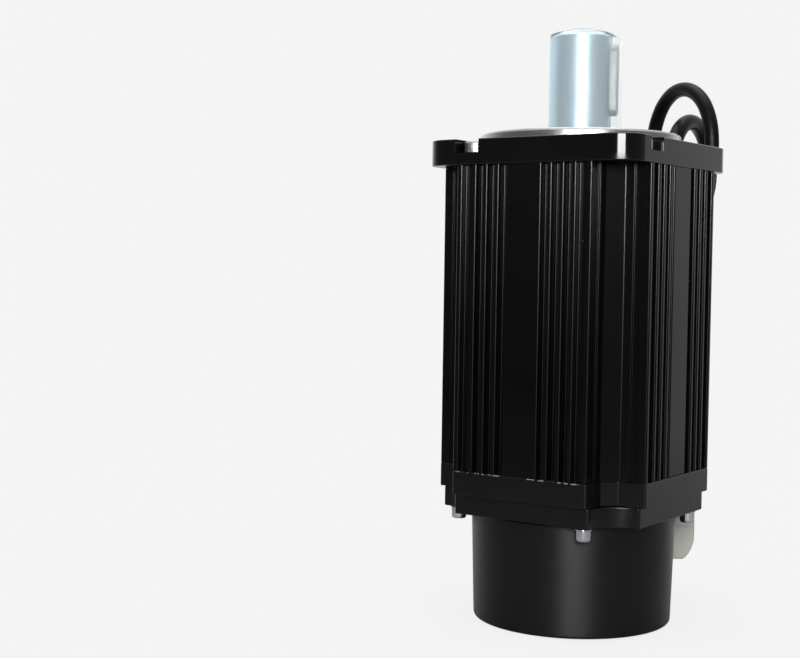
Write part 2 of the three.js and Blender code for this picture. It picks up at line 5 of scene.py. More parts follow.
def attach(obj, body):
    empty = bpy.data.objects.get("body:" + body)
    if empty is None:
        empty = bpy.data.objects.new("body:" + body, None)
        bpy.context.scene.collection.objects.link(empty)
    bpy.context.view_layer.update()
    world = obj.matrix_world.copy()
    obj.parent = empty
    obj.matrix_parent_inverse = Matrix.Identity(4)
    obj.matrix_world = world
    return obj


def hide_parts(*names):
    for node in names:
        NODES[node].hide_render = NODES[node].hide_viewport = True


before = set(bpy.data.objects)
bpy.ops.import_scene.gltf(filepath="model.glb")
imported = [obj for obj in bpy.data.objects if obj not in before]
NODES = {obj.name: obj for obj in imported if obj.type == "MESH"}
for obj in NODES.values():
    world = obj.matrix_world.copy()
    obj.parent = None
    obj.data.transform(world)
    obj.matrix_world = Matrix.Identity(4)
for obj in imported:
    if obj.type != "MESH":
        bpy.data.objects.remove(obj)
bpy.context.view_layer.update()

S = 0.001
sin, cos, pi = math.sin, math.cos, math.pi
scene = bpy.context.scene

# ------------------------------------------------------------------ camera
AZ, PITCH, ROLL = math.radians(34.828), math.radians(2.585), math.radians(0.815)
FOCAL = 1444.3
CAM = Vector((240.84, -455.654, 124.549)) * S
fwd = Vector((-sin(AZ) * cos(PITCH), cos(AZ) * cos(PITCH), -sin(PITCH)))
rgt = Vector((cos(AZ), sin(AZ), 0))
up = rgt.cross(fwd)
R_ = cos(ROLL) * rgt + sin(ROLL) * up
U_ = -sin(ROLL) * rgt + cos(ROLL) * up
cam_data = bpy.data.cameras.new("camera")
cam_data.sensor_width = 36.0
cam_data.lens = 36.0 * FOCAL / 800.0
cam_data.clip_start = 0.01
cam = bpy.data.objects.new("camera", cam_data)
scene.collection.objects.link(cam)
cam.matrix_world = Matrix((
    (R_.x, U_.x, -fwd.x, CAM.x),
    (R_.y, U_.y, -fwd.y, CAM.y),
    (R_.z, U_.z, -fwd.z, CAM.z),
    (0, 0, 0, 1)))
scene.camera = cam

# ------------------------------------------------------------------ materials
def new_mat(name):
    m = bpy.data.materials.new(name)
    m.use_nodes = True
    nt = m.node_tree
    bsdf = nt.nodes["Principled BSDF"]
    return m, nt, bsdf

def link(nt, a, b):
    nt.links.new(a, b)

def coords(nt, scale=(1, 1, 1), rot=(0, 0, 0)):
    tc = nt.nodes.new("ShaderNodeTexCoord")
    mp = nt.nodes.new("ShaderNodeMapping")
    mp.inputs["Scale"].default_value = scale
    mp.inputs["Rotation"].default_value = rot
    link(nt, tc.outputs["Object"], mp.inputs["Vector"])
    return mp.outputs["Vector"]

def noise(nt, vec, scale, detail=4, rough=0.55):
    n = nt.nodes.new("ShaderNodeTexNoise")
    n.inputs["Scale"].default_value = scale
    n.inputs["Detail"].default_value = detail
    n.inputs["Roughness"].default_value = rough
    link(nt, vec, n.inputs["Vector"])
    return n.outputs["Fac"]

def ramp(nt, fac, stops, interp="LINEAR"):
    r = nt.nodes.new("ShaderNodeValToRGB")
    r.color_ramp.interpolation = interp
    els = r.color_ramp.elements
    while len(els) < len(stops):
        els.new(0.5)
    for e, (p, c) in zip(els, stops):
        e.position = p
        e.color = (*c, 1) if len(c) == 3 else c
    link(nt, fac, r.inputs["Fac"])
    return r.outputs["Color"]

def grey(v):
    return (v, v, v)

def mapr(nt, fac, a, b, lo=0.0, hi=1.0):
    m = nt.nodes.new("ShaderNodeMapRange")
    m.inputs["From Min"].default_value = lo
    m.inputs["From Max"].default_value = hi
    m.inputs["To Min"].default_value = a
    m.inputs["To Max"].default_value = b
    link(nt, fac, m.inputs["Value"])
    return m.outputs["Result"]

def bump(nt, bsdf, height, strength, distance, prev=None):
    b = nt.nodes.new("ShaderNodeBump")
    b.inputs["Strength"].default_value = strength
    b.inputs["Distance"].default_value = distance
    link(nt, height, b.inputs["Height"])
    if prev is not None:
        link(nt, prev, b.inputs["Normal"])
    link(nt, b.outputs["Normal"], bsdf.inputs["Normal"])
    return b.outputs["Normal"]

def mixc(nt, fac, a, b):
    """Mix of two colours; each is a socket or a tuple."""
    m = nt.nodes.new("ShaderNodeMix")
    m.data_type = 'RGBA'
    link(nt, fac, m.inputs["Factor"])
    for key, v in (("A", a), ("B", b)):
        sock = [s for s in m.inputs if s.name == key and s.type == 'RGBA'][0]
        if isinstance(v, tuple):
            sock.default_value = (*v, 1)
        else:
            link(nt, v, sock)
    return [o for o in m.outputs if o.type == 'RGBA'][0]

def mixf(nt, fac, a, b):
    m = nt.nodes.new("ShaderNodeMix")
    m.data_type = 'FLOAT'
    link(nt, fac, m.inputs["Factor"])
    for key, v in (("A", a), ("B", b)):
        sock = [s for s in m.inputs if s.name == key and s.type == 'VALUE'][0]
        if isinstance(v, (int, float)):
            sock.default_value = v
        else:
            link(nt, v, sock)
    return [o for o in m.outputs if o.type == 'VALUE'][0]

def math_node(nt, op, a, b=None, clamp=False):
    m = nt.nodes.new("ShaderNodeMath")
    m.operation = op
    m.use_clamp = clamp
    for i, v in enumerate((a, b)):
        if v is None:
            continue
        if isinstance(v, (int, float)):
            m.inputs[i].default_value = v
        else:
            link(nt, v, m.inputs[i])
    return m.outputs[0]

def sep(nt, vec):
    s = nt.nodes.new("ShaderNodeSeparateXYZ")
    link(nt, vec, s.inputs[0])
    return s.outputs

def specks(nt, scale, size, seed=(0, 0, 0)):
    """Sparse tiny dots, 1 inside a dot."""
    tc = nt.nodes.new("ShaderNodeTexCoord")
    mp = nt.nodes.new("ShaderNodeMapping")
    mp.inputs["Location"].default_value = seed
    link(nt, tc.outputs["Object"], mp.inputs["Vector"])
    v = nt.nodes.new("ShaderNodeTexVoronoi")
    v.inputs["Scale"].default_value = scale
    v.inputs["Randomness"].default_value = 1.0
    link(nt, mp.outputs["Vector"], v.inputs["Vector"])
    # only some of the cells carry a speck
    c = sep(nt, v.outputs["Color"])
    keep = math_node(nt, 'GREATER_THAN', c[0], 0.86)
    dot = math_node(nt, 'LESS_THAN', v.outputs["Distance"], size)
    return math_node(nt, 'MULTIPLY', keep, dot)

def black_coat(name, base=0.006, rough=(0.16, 0.26), spec=0.5, orange=0.02, speck=True, draw=False, tint=(1, 1, 1.05), wear_z=None, metallic=0.0, coat=0.0):
    """Black paint or anodise on metal: slow colour drift, orange peel or drawn lines, dust specks, chips at one edge."""
    m, nt, b = new_mat(name)
    v = coords(nt)
    n1 = noise(nt, v, 60, 4)
    col = ramp(nt, n1, [(0.3, tuple(base * 0.75 * t for t in tint)), (0.7, tuple(base * 1.35 * t for t in tint))])
    n2 = noise(nt, v, 380, 3)
    r = mapr(nt, n2, rough[0], rough[1], 0.3, 0.7)
    if draw:                                  # fine lines along the extrusion
        lines = noise(nt, coords(nt, (1, 1, 0.015)), 2600, 2)
        r = mixf(nt, lines, r, rough[1] * 1.1)
    met = None
    if speck:
        s = specks(nt, 230, 0.030)
        col = mixc(nt, s, col, (0.22, 0.23, 0.25))
        r = mixf(nt, s, r, 0.5)
    if wear_z is not None:                    # bare chips along an edge at this height
        lo, hi, amount = wear_z
        z = sep(nt, coords(nt))[2]
        band = mapr(nt, z, 0, 1, lo * S, hi * S)
        chip = noise(nt, coords(nt, (1, 1, 0.6)), 520, 3, 0.7)
        px, py = sep(nt, v)[0], sep(nt, v)[1]
        runs = ramp(nt, mapr(nt, px, 0.0, 1.0, -26 * S, 26 * S), [(0.0, grey(1)), (0.36, grey(0)), (0.57, grey(1)), (0.72, grey(0)), (0.79, grey(1)), (0.94, grey(0))], "CONSTANT")
        mask = math_node(nt, 'MULTIPLY', math_node(nt, 'GREATER_THAN', chip, amount), band)
        mask = math_node(nt, 'MULTIPLY', mask, sep(nt, runs)[0])
        mask = math_node(nt, 'MULTIPLY', mask, math_node(nt, 'LESS_THAN', py, -39 * S), clamp=True)
        col = mixc(nt, mask, col, (0.40, 0.40, 0.41))
        r = mixf(nt, mask, r, 0.35)
        met = mask
    link(nt, col, b.inputs["Base Color"])
    link(nt, r, b.inputs["Roughness"])
    if met is not None:
        link(nt, met, b.inputs["Metallic"])
    else:
        b.inputs["Metallic"].default_value = metallic
    b.inputs["Specular IOR Level"].default_value = spec
    if coat:
        b.inputs["Coat Weight"].default_value = coat
        b.inputs["Coat Roughness"].default_value = 0.06
    if draw:
        h = noise(nt, coords(nt, (1, 1, 0.01)), 1800, 2)
        bump(nt, b, h, 0.015, 0.00004)
        b.inputs["Specular Tint"].default_value = (0.97, 0.94, 1.0, 1)
    else:
        h = noise(nt, v, 900, 2)
        bump(nt, b, h, orange * 5, 0.00006)
    return m

def turned_metal(name, base=(0.72, 0.73, 0.75), rough=(0.16, 0.3), lines=9000, axis='Z', bands=True, bump_s=0.12, tint2=None):
    """Turned or ground bare metal: rings along the axis, colour drift, roughness streaks."""
    m, nt, b = new_mat(name)
    k = {'Z': (0.02, 0.02, 1), 'X': (1, 0.02, 0.02), 'Y': (0.02, 1, 0.02), 'XY': (1, 1, 0.02)}[axis]
    v = coords(nt, k)
    streak = noise(nt, v, lines, 3, 0.7)
    drift = noise(nt, coords(nt), 45, 3)
    c2 = tint2 or tuple(c * 0.8 for c in base)
    col = mixc(nt, mapr(nt, drift, 0, 1, 0.3, 0.7), base, c2)
    link(nt, col, b.inputs["Base Color"])
    link(nt, mapr(nt, streak, rough[0], rough[1], 0.25, 0.75), b.inputs["Roughness"])
    b.inputs["Metallic"].default_value = 1.0
    bump(nt, b, streak, bump_s, 0.00003)
    return m

def plain_metal(name, base, rough=(0.25, 0.42), scale=700, bump_s=0.15):
    m, nt, b = new_mat(name)
    v = coords(nt)
    n = noise(nt, v, scale, 4)
    big = noise(nt, v, 90, 3)
    col = mixc(nt, mapr(nt, big, 0, 1, 0.3, 0.7), tuple(c * 0.82 for c in base), tuple(min(1, c * 1.08) for c in base))
    link(nt, col, b.inputs["Base Color"])
    link(nt, mapr(nt, n, rough[0], rough[1], 0.3, 0.7), b.inputs["Roughness"])
    b.inputs["Metallic"].default_value = 1.0
    bump(nt, b, n, bump_s, 0.00003)
    return m

def plastic(name, base, rough=(0.35, 0.5), grain=1500, bump_s=0.2, spec=0.5, mottled=0.12, sub=0.0):
    m, nt, b = new_mat(name)
    v = coords(nt)
    n = noise(nt, v, grain, 3)
    big = noise(nt, v, 120, 3)
    lo = tuple(c * (1 - mottled) for c in base)
    hi = tuple(min(1, c * (1 + mottled)) for c in base)
    link(nt, mixc(nt, mapr(nt, big, 0, 1, 0.3, 0.7), lo, hi), b.inputs["Base Color"])
    link(nt, mapr(nt, n, rough[0], rough[1], 0.3, 0.7), b.inputs["Roughness"])
    b.inputs["Specular IOR Level"].default_value = spec
    bump(nt, b, n, bump_s, 0.00004)
    if sub:
        b.inputs["Subsurface Weight"].default_value = sub
        b.inputs["Subsurface Radius"].default_value = (0.002, 0.002, 0.0015)
    return m

M_BODY = black_coat("anodised_black_body", base=0.0013, rough=(0.20, 0.22), spec=0.32, draw=True)
M_FLANGE = black_coat("gloss_black_flange", base=0.0014, rough=(0.08, 0.12), spec=0.40, orange=0.010, speck=False)
M_BELL = black_coat("satin_black_bell", base=0.0022, rough=(0.22, 0.30), spec=0.3, speck=False, wear_z=(53.4, 53.75, 0.54))
def fade_down(m, z0, z1, extra):
    """The coat is a little rougher towards its lower edge, where the paint lies thinner."""
    nt = m.node_tree
    b = nt.nodes["Principled BSDF"]
    r = b.inputs["Roughness"].links[0].from_socket
    more = mapr(nt, sep(nt, coords(nt))[2], extra, 0.0, z0 * S, z1 * S)
    link(nt, math_node(nt, 'ADD', r, more), b.inputs["Roughness"])
fade_down(M_FLANGE, 158.4, 161.2, 0.15)
def duller_down(m, z0, z1, lo, hi):
    """The photograph's housing shines less towards its lower end."""
    nt = m.node_tree
    link(nt, mapr(nt, sep(nt, coords(nt))[2], lo, hi, z0 * S, z1 * S), nt.nodes["Principled BSDF"].inputs["Specular IOR Level"])
duller_down(M_BODY, 98, 150, 0.195, 0.32)
def groove_stretch(m, amount, turn_):
    """Fine turning grooves run round the axis, so highlights stretch along it."""
    nt = m.node_tree
    b = nt.nodes["Principled BSDF"]
    t = nt.nodes.new("ShaderNodeTangent")
    t.direction_type = 'RADIAL'
    t.axis = 'Z'
    link(nt, t.outputs[0], b.inputs["Tangent"])
    b.inputs["Anisotropic"].default_value = amount
    b.inputs["Anisotropic Rotation"].default_value = turn_
M_PLATE = black_coat("satin_black_plate", base=0.0022, rough=(0.20, 0.28), spec=0.3, speck=False)
M_COVER = black_coat("satin_black_cover", base=0.0022, rough=(0.38, 0.42), spec=0.30, orange=0.03, speck=False, tint=(1, 1.01, 1.06))
groove_stretch(M_COVER, 0.75, 0.25)
M_PILOT = turned_metal("turned_pilot", (0.55, 0.55, 0.56), (0.20, 0.34), 9000, 'Z')
M_MILLED = plain_metal("milled_notch", (0.86, 0.86, 0.87), (0.22, 0.38), 900)
M_SHAFT = turned_metal("ground_shaft", (0.655, 0.88, 1.0), (0.35, 0.45), 12000, 'Z', bump_s=0.05, tint2=(0.655, 0.85, 0.93))
M_KEY = plain_metal("key_steel", (0.40, 0.42, 0.43), (0.42, 0.52))
M_ZINC = plain_metal("zinc_plate", (0.72, 0.75, 0.79), (0.26, 0.36), 350, 0.04)
M_HEAD = plain_metal("rear_head_zinc", (0.68, 0.69, 0.73), (0.11, 0.18), 350, 0.05)
M_SEAL = plastic("seal_rubber", (0.022, 0.02, 0.019), (0.5, 0.65), 900, 0.3)
M_JACKET = plastic("lead_jacket", (0.0016, 0.0016, 0.0018), (0.34, 0.44), 1100, 0.10, spec=0.15, mottled=0.2)
M_RELIEF = plastic("relief_rubber", (0.012, 0.012, 0.0125), (0.42, 0.55), 1300, 0.25)
M_TIE = plastic("tie_nylon", (0.013, 0.013, 0.0135), (0.32, 0.45), 1300, 0.15)
M_BEIGE = plastic("plug_beige", (0.36, 0.36, 0.325), (0.4, 0.52), 1500, 0.12, mottled=0.05, sub=0.05)
M_IVORY = plastic("plug_ivory", (0.60, 0.57, 0.48), (0.4, 0.5), 1500, 0.12, mottled=0.05, sub=0.05)
M_PIN = plain_metal("tinned_pin", (0.80, 0.78, 0.72), (0.2, 0.35))
M_PLATEMET = turned_metal("brushed_plate", (0.62, 0.63, 0.65), (0.28, 0.45), 7000, 'Y', bump_s=0.1)
M_LAM = turned_metal("lamination_edges", (0.33, 0.34, 0.36), (0.35, 0.5), 5000, 'Z')
M_MAGNET = plain_metal("nickel_magnet", (0.42, 0.43, 0.45), (0.25, 0.4))
M_BRG = turned_metal("bearing_steel", (0.72, 0.73, 0.75), (0.08, 0.16), 9000, 'Z')
M_BRASS = plain_metal("cage_brass", (0.62, 0.45, 0.2), (0.2, 0.35))
M_ALU = turned_metal("machined_aluminium", (0.75, 0.76, 0.78), (0.22, 0.36), 6000, 'Z')
M_SPRING = plain_metal("spring_steel", (0.3, 0.31, 0.33), (0.25, 0.4))
M_INSUL = plastic("insulator", (0.72, 0.68, 0.56), (0.5, 0.65))
M_BOARD = plastic("board_green", (0.02, 0.13, 0.05), (0.3, 0.45), 900, 0.15)
M_BLKPL = plastic("black_plastic", (0.014, 0.014, 0.015), (0.4, 0.55))

def copper(name):
    m, nt, b = new_mat(name)
    w = nt.nodes.new("ShaderNodeTexWave")
    w.wave_type = 'BANDS'
    w.bands_direction = 'DIAGONAL'
    w.inputs["Scale"].default_value = 900
    w.inputs["Distortion"].default_value = 1.5
    link(nt, coords(nt), w.inputs["Vector"])
    link(nt, mixc(nt, w.outputs["Fac"], (0.24, 0.07, 0.02), (0.72, 0.30, 0.13)), b.inputs["Base Color"])
    b.inputs["Metallic"].default_value = 0.8
    link(nt, mapr(nt, w.outputs["Fac"], 0.42, 0.22), b.inputs["Roughness"])
    bump(nt, b, w.outputs["Fac"], 0.6, 0.0002)
    return m
M_COPPER = copper("varnished_copper")

def disc_glass(name):
    m, nt, b = new_mat(name)
    xyz = sep(nt, coords(nt))
    ang = math_node(nt, 'ARCTAN2', xyz[1], xyz[0])
    tick = math_node(nt, 'SINE', math_node(nt, 'MULTIPLY', ang, 180.0))
    rr = math_node(nt, 'SQRT', math_node(nt, 'ADD', math_node(nt, 'MULTIPLY', xyz[0], xyz[0]), math_node(nt, 'MULTIPLY', xyz[1], xyz[1])))
    track = math_node(nt, 'MULTIPLY', math_node(nt, 'GREATER_THAN', rr, 0.0125), math_node(nt, 'GREATER_THAN', tick, 0.0))
    link(nt, mixc(nt, track, (0.75, 0.8, 0.84), (0.12, 0.12, 0.14)), b.inputs["Base Color"])
    b.inputs["Roughness"].default_value = 0.08
    b.inputs["Metallic"].default_value = 0.3
    return m
M_DISC = disc_glass("encoder_glass")

def clear_plastic(name):
    m, nt, b = new_mat(name)
    n = noise(nt, coords(nt), 55, 3)
    link(nt, mixc(nt, n, (0.93, 0.965, 0.975), (0.975, 0.99, 0.99)), b.inputs["Base Color"])
    link(nt, mapr(nt, noise(nt, coords(nt), 300, 3), 0.015, 0.06, 0.3, 0.7), b.inputs["Roughness"])
    b.inputs["IOR"].default_value = 1.18
    b.inputs["Specular IOR Level"].default_value = 1.0
    b.inputs["Transmission Weight"].default_value = 0.84
    bump(nt, b, noise(nt, coords(nt, (1, 1, 0.35)), 150, 2), 0.03, 0.0003)
    return m
M_CLEAR = clear_plastic("clear_soft_plastic")

def wet_contact(name):
    """Inside wall of the cap, wetted by the film of oil on the shaft, so it bends no light."""
    m = bpy.data.materials.new(name)
    m.use_nodes = True
    nt = m.node_tree
    for n in list(nt.nodes):
        nt.nodes.remove(n)
    out = nt.nodes.new("ShaderNodeOutputMaterial")
    t = nt.nodes.new("ShaderNodeBsdfTransparent")
    link(nt, mixc(nt, noise(nt, coords(nt), 90, 2), (0.97, 0.98, 0.985), (1.0, 1.0, 1.0)), t.inputs["Color"])
    link(nt, t.outputs[0], out.inputs["Surface"])
    return m
M_WET = wet_contact("oiled_inner_wall")

# ------------------------------------------------------------------ mesh toolkit (millimetres in, metres out)
def new_obj(name, bm, mats):
    bmesh.ops.recalc_face_normals(bm, faces=bm.faces[:])
    me = bpy.data.meshes.new(name)
    bm.to_mesh(me)
    bm.free()
    for m in mats:
        me.materials.append(m)
    o = bpy.data.objects.new(name, me)
    scene.collection.objects.link(o)
    return o

def scaled(bm):
    for v in bm.verts:
        v.co *= S

def fillet(points, radius):
    """Rounds each corner of a closed polygon. radius is one number or a list, one per corner."""
    n = len(points)
    out = []
    for i in range(n):
        r = radius[i] if isinstance(radius, (list, tuple)) else radius
        p = Vector(points[i])
        a = Vector(points[i - 1]) - p
        b = Vector(points[(i + 1) % n]) - p
        la, lb = a.length, b.length
        if r <= 0 or la < 1e-6 or lb < 1e-6:
            out.append(p[:]); continue
        a.normalize(); b.normalize()
        ang = math.acos(max(-1, min(1, a.dot(b))))
        if ang > pi - 0.12:
            out.append(p[:]); continue
        t = min(r / math.tan(ang / 2), la * 0.49, lb * 0.49)
        rr = t * math.tan(ang / 2)
        c = p + (a + b).normalized() * (rr / sin(ang / 2))
        s0, s1 = p + a * t - c, p + b * t - c
        a0, a1 = math.atan2(s0.y, s0.x), math.atan2(s1.y, s1.x)
        d = (a1 - a0 + pi) % (2 * pi) - pi
        k = max(3, int(abs(d) / math.radians(15)) + 1)
        for j in range(k + 1):
            q = a0 + d * j / k
            out.append((c.x + rr * cos(q), c.y + rr * sin(q)))
    return out

def prism(name, outline, z0, z1, mats=(), bevel=0.0, seg=3, axis='Z'):
    bm = bmesh.new()
    lo = [bm.verts.new((x, y, z0)) for x, y in outline]
    hi = [bm.verts.new((x, y, z1)) for x, y in outline]
    bm.faces.new(lo[::-1])
    bm.faces.new(hi)
    n = len(outline)
    for i in range(n):
        bm.faces.new((lo[i], lo[(i + 1) % n], hi[(i + 1) % n], hi[i]))
    if bevel:
        bmesh.ops.recalc_face_normals(bm, faces=bm.faces[:])
        rim = [e for e in bm.edges if abs(e.verts[0].co.z - e.verts[1].co.z) < 1e-6]
        bmesh.ops.bevel(bm, geom=rim, offset=bevel, offset_type='OFFSET', segments=seg, profile=0.5, affect='EDGES', clamp_overlap=True)
    if axis == 'Y':      # outline in XZ, depth along Y
        for v in bm.verts:
            v.co = Vector((v.co.x, v.co.z, v.co.y))
    if axis == 'X':      # outline in YZ, depth along X
        for v in bm.verts:
            v.co = Vector((v.co.z, v.co.x, v.co.y))
    scaled(bm)
    return new_obj(name, bm, mats)

def circle(r, n=64, x=0, y=0, a0=0):
    return [(x + r * cos(a0 + 2 * pi * i / n), y + r * sin(a0 + 2 * pi * i / n)) for i in range(n)]

def lathe(name, profile, n=96, mats=(), knurl=None):
    """Profile of (r, z) turned about Z. knurl = (teeth, depth, z0, z1) lines cut into the outside between z0 and z1."""
    bm = bmesh.new()
    rings = []
    for r, z in profile:
        if r < 1e-6:
            rings.append([bm.verts.new((0, 0, z))])
            continue
        ring = []
        for i in range(n):
            q = 2 * pi * i / n
            rr = r
            if knurl and knurl[2] <= z <= knurl[3] and r > knurl[4]:
                rr = r - knurl[1] * (0.5 - 0.5 * cos(q * knurl[0]))
            ring.append(bm.verts.new((rr * cos(q), rr * sin(q), z)))
        rings.append(ring)
    closed = profile[0][0] > 1e-6
    pairs = list(zip(rings, rings[1:]))
    if closed:
        pairs.append((rings[-1], rings[0]))
    for a, b in pairs:
        if len(a) == 1 and len(b) == 1:
            continue
        for i in range(n):
            j = (i + 1) % n
            if len(a) == 1:
                bm.faces.new((a[0], b[i], b[j]))
            elif len(b) == 1:
                bm.faces.new((a[i], a[j], b[0]))
            else:
                bm.faces.new((a[i], a[j], b[j], b[i]))
    scaled(bm)
    return new_obj(name, bm, mats)

def rounded_profile(pts, radius):
    """Rounds the corners of an open lathe profile, ends left alone."""
    n = len(pts)
    rad = radius if isinstance(radius, (list, tuple)) else [radius] * n
    rad = [0] + list(rad[1:-1]) + [0]
    out = []
    for i, p in enumerate(pts):
        if rad[i] <= 0:
            out.append(p); continue
        P = Vector(p); a = Vector(pts[i - 1]) - P; b = Vector(pts[i + 1]) - P
        la, lb = a.length, b.length
        a.normalize(); b.normalize()
        ang = math.acos(max(-1, min(1, a.dot(b))))
        if ang > pi - 0.1:
            out.append(p); continue
        t = min(rad[i] / math.tan(ang / 2), la * 0.49, lb * 0.49)
        rr = t * math.tan(ang / 2)
        c = P + (a + b).normalized() * (rr / sin(ang / 2))
        s0, s1 = P + a * t - c, P + b * t - c
        a0, a1 = math.atan2(s0.y, s0.x), math.atan2(s1.y, s1.x)
        d = (a1 - a0 + pi) % (2 * pi) - pi
        for j in range(5):
            q = a0 + d * j / 4
            out.append((c.x + rr * cos(q), c.y + rr * sin(q)))
    return out

def bake(o):
    """Applies the modifiers of o."""
    dg = bpy.context.evaluated_depsgraph_get()
    dg.update()
    me = bpy.data.meshes.new_from_object(o.evaluated_get(dg), preserve_all_data_layers=True, depsgraph=dg)
    o.modifiers.clear()
    old = o.data
    o.data = me
    bpy.data.meshes.remove(old)
    return o

def boolean(o, other, op='DIFFERENCE'):
    m = o.modifiers.new("b", 'BOOLEAN')
    m.operation = op
    m.solver = 'EXACT'
    m.object = other
    bake(o)
    me = other.data
    bpy.data.objects.remove(other)
    bpy.data.meshes.remove(me)
    return o

def place(o, m):
    o.data.transform(m)
    return o

def move(o, x, y, z):
    return place(o, Matrix.Translation(Vector((x, y, z)) * S))

def turn(o, deg, axis='Z'):
    return place(o, Matrix.Rotation(math.radians(deg), 4, axis))

def quarter(pts):
    out = []
    for k in range(4):
        for x, y in pts:
            for _ in range(k):
                x, y = -y, x
            out.append((x, y))
    return out

def turned_pt(x, y, k):
    for _ in range(k):
        x, y = -y, x
    return x, y

def edge_bevel(o, width, seg=2, angle=35):
    m = o.modifiers.new("bevel", 'BEVEL')
    m.width = width * S
    m.segments = seg
    m.limit_method = 'ANGLE'
    m.angle_limit = math.radians(angle)
    m.use_clamp_overlap = True
    m.miter_outer = 'MITER_ARC'
    return bake(o)

def done(o, body, nodes, angle=32, weighted=True):
    o.data.shade_smooth()
    o.data.set_sharp_from_angle(angle=math.radians(angle))
    if weighted:
        w = o.modifiers.new("normals", 'WEIGHTED_NORMAL')
        w.keep_sharp = True
        w.weight = 60
    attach(o, body)
    if nodes:
        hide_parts(*nodes)
    return o

# ------------------------------------------------------------------ leads (first, as their room is checked)
POWER_ROUTE = [
  [-26.99, 52.24, 20], [-30.2, 61.06, 20.39], [-33.19, 69.27, 23.62], [-35.4, 75.4, 30.31], [-36.53, 78.35, 39.09], [-35.75, 78.13, 48.41],
  [-33.27, 76, 57.21], [-30.06, 73.35, 65.64], [-26.44, 70.78, 73.93], [-22.24, 68.2, 81.94], [-17.37, 65.55, 89.53], [-12.35, 63.07, 97.08],
  [-7.96, 61.19, 105.18], [-4.99, 60.4, 114.04], [-3.68, 60.93, 123.32], [-3.25, 62.12, 132.64], [-2.81, 63.2, 141.97], [-2.44, 64.01, 151.34],
  [-2.46, 64.58, 160.72], [-2.3, 64.65, 170.12], [-0.71, 63.72, 179.7], [3.9, 60.75, 187.3], [10.8, 56.3, 191.3], [18.6, 51.4, 190.8],
  [25.4, 47.2, 186.0], [29.6, 44.65, 178.0], [30.8, 43.95, 168.6], [29.9, 44.0, 159.1], [27.4, 44.8, 149.93], [24.6, 46.1, 141.26],
  [20.62, 47.7, 133.54], [14.62, 50.1, 126.72], [9.2, 52.45, 119.42], [6.19, 53.94, 110.69], [5.47, 54.66, 101.36], [6.06, 55.06, 91.98],
  [7.13, 55.41, 82.65], [8.23, 55.79, 73.32], [9.19, 56.03, 63.96], [9.91, 56.07, 54.59], [10.5, 56, 45.2],
]
ENCODER_ROUTE = [
  [-12.89, 57.37, 20], [-16.17, 66.4, 20.41], [-19.26, 74.88, 23.56], [-21.62, 81.42, 30.14], [-23.02, 85.04, 38.88], [-22.53, 85.24, 48.41],
  [-19.84, 82.79, 57.31], [-16.3, 79.31, 65.56], [-12.59, 75.68, 73.67], [-8.68, 72.05, 81.69], [-4.55, 68.48, 89.63], [-0.7, 65.22, 97.82],
  [2.04, 62.66, 106.68], [3.72, 62.35, 116.09], [5.36, 65.74, 124.91], [7.22, 71.04, 132.73], [9.32, 76.87, 140.09], [11.19, 82.03, 147.99],
  [12.36, 85.17, 156.98], [12.68, 84.68, 166.51], [12.73, 79.84, 174.72], [12.96, 71.67, 179.62], [13.2, 62.15, 180.05], [13.41, 53.55, 175.93],
  [13.59, 48.07, 168.16], [13.51, 46.4, 158.71], [12.43, 46.39, 149.15], [10.13, 47.37, 139.86], [6.56, 49.17, 131.11], [2.11, 51.51, 122.89],
  [-1.01, 53.24, 114], [-1.82, 53.98, 104.43], [-2.71, 54.89, 94.89], [-4.75, 55.86, 85.53], [-6.64, 56.46, 76.12], [-7, 56.5, 66.5],
]

def smooth_route(pts, per=5):
    """Centripetal curve through the points, as metres."""
    P = [Vector(p) for p in pts]
    P = [P[0] * 2 - P[1]] + P + [P[-1] * 2 - P[-2]]
    out = []
    for i in range(1, len(P) - 2):
        p0, p1, p2, p3 = P[i - 1], P[i], P[i + 1], P[i + 2]
        t0 = 0.0
        t1 = t0 + (p1 - p0).length ** 0.5
        t2 = t1 + (p2 - p1).length ** 0.5
        t3 = t2 + (p3 - p2).length ** 0.5
        for j in range(per):
            t = t1 + (t2 - t1) * j / per
            a1 = p0 * ((t1 - t) / (t1 - t0)) + p1 * ((t - t0) / (t1 - t0))
            a2 = p1 * ((t2 - t) / (t2 - t1)) + p2 * ((t - t1) / (t2 - t1))
            a3 = p2 * ((t3 - t) / (t3 - t2)) + p3 * ((t - t2) / (t3 - t2))
            b1 = a1 * ((t2 - t) / (t2 - t0)) + a2 * ((t - t0) / (t2 - t0))
            b2 = a2 * ((t3 - t) / (t3 - t1)) + a3 * ((t - t1) / (t3 - t1))
            out.append(b1 * ((t2 - t) / (t2 - t1)) + b2 * ((t - t1) / (t2 - t1)))
    out.append(P[-2])
    return [p * S for p in out]

def lead(name, route, dia, mat):
    pts = smooth_route(route)
    cu = bpy.data.curves.new(name, 'CURVE')
    cu.dimensions = '3D'
    cu.bevel_depth = dia / 2 * S
    cu.bevel_resolution = 7
    cu.use_fill_caps = True
    sp = cu.splines.new('POLY')
    sp.points.add(len(pts) - 1)
    for p, q in zip(sp.points, pts):
        p.co = (*q, 1)
    sp.use_smooth = True
    cu.materials.append(mat)
    o = bpy.data.objects.new(name, cu)
    scene.collection.objects.link(o)
    length = sum((b - a).length for a, b in zip(pts, pts[1:]))
    return o, length, pts

power, power_len, power_pts = lead("power_lead_jacket", POWER_ROUTE, 5.4, M_JACKET)
encoder, encoder_len, encoder_pts = lead("encoder_lead_jacket", ENCODER_ROUTE, 6.0, M_JACKET)

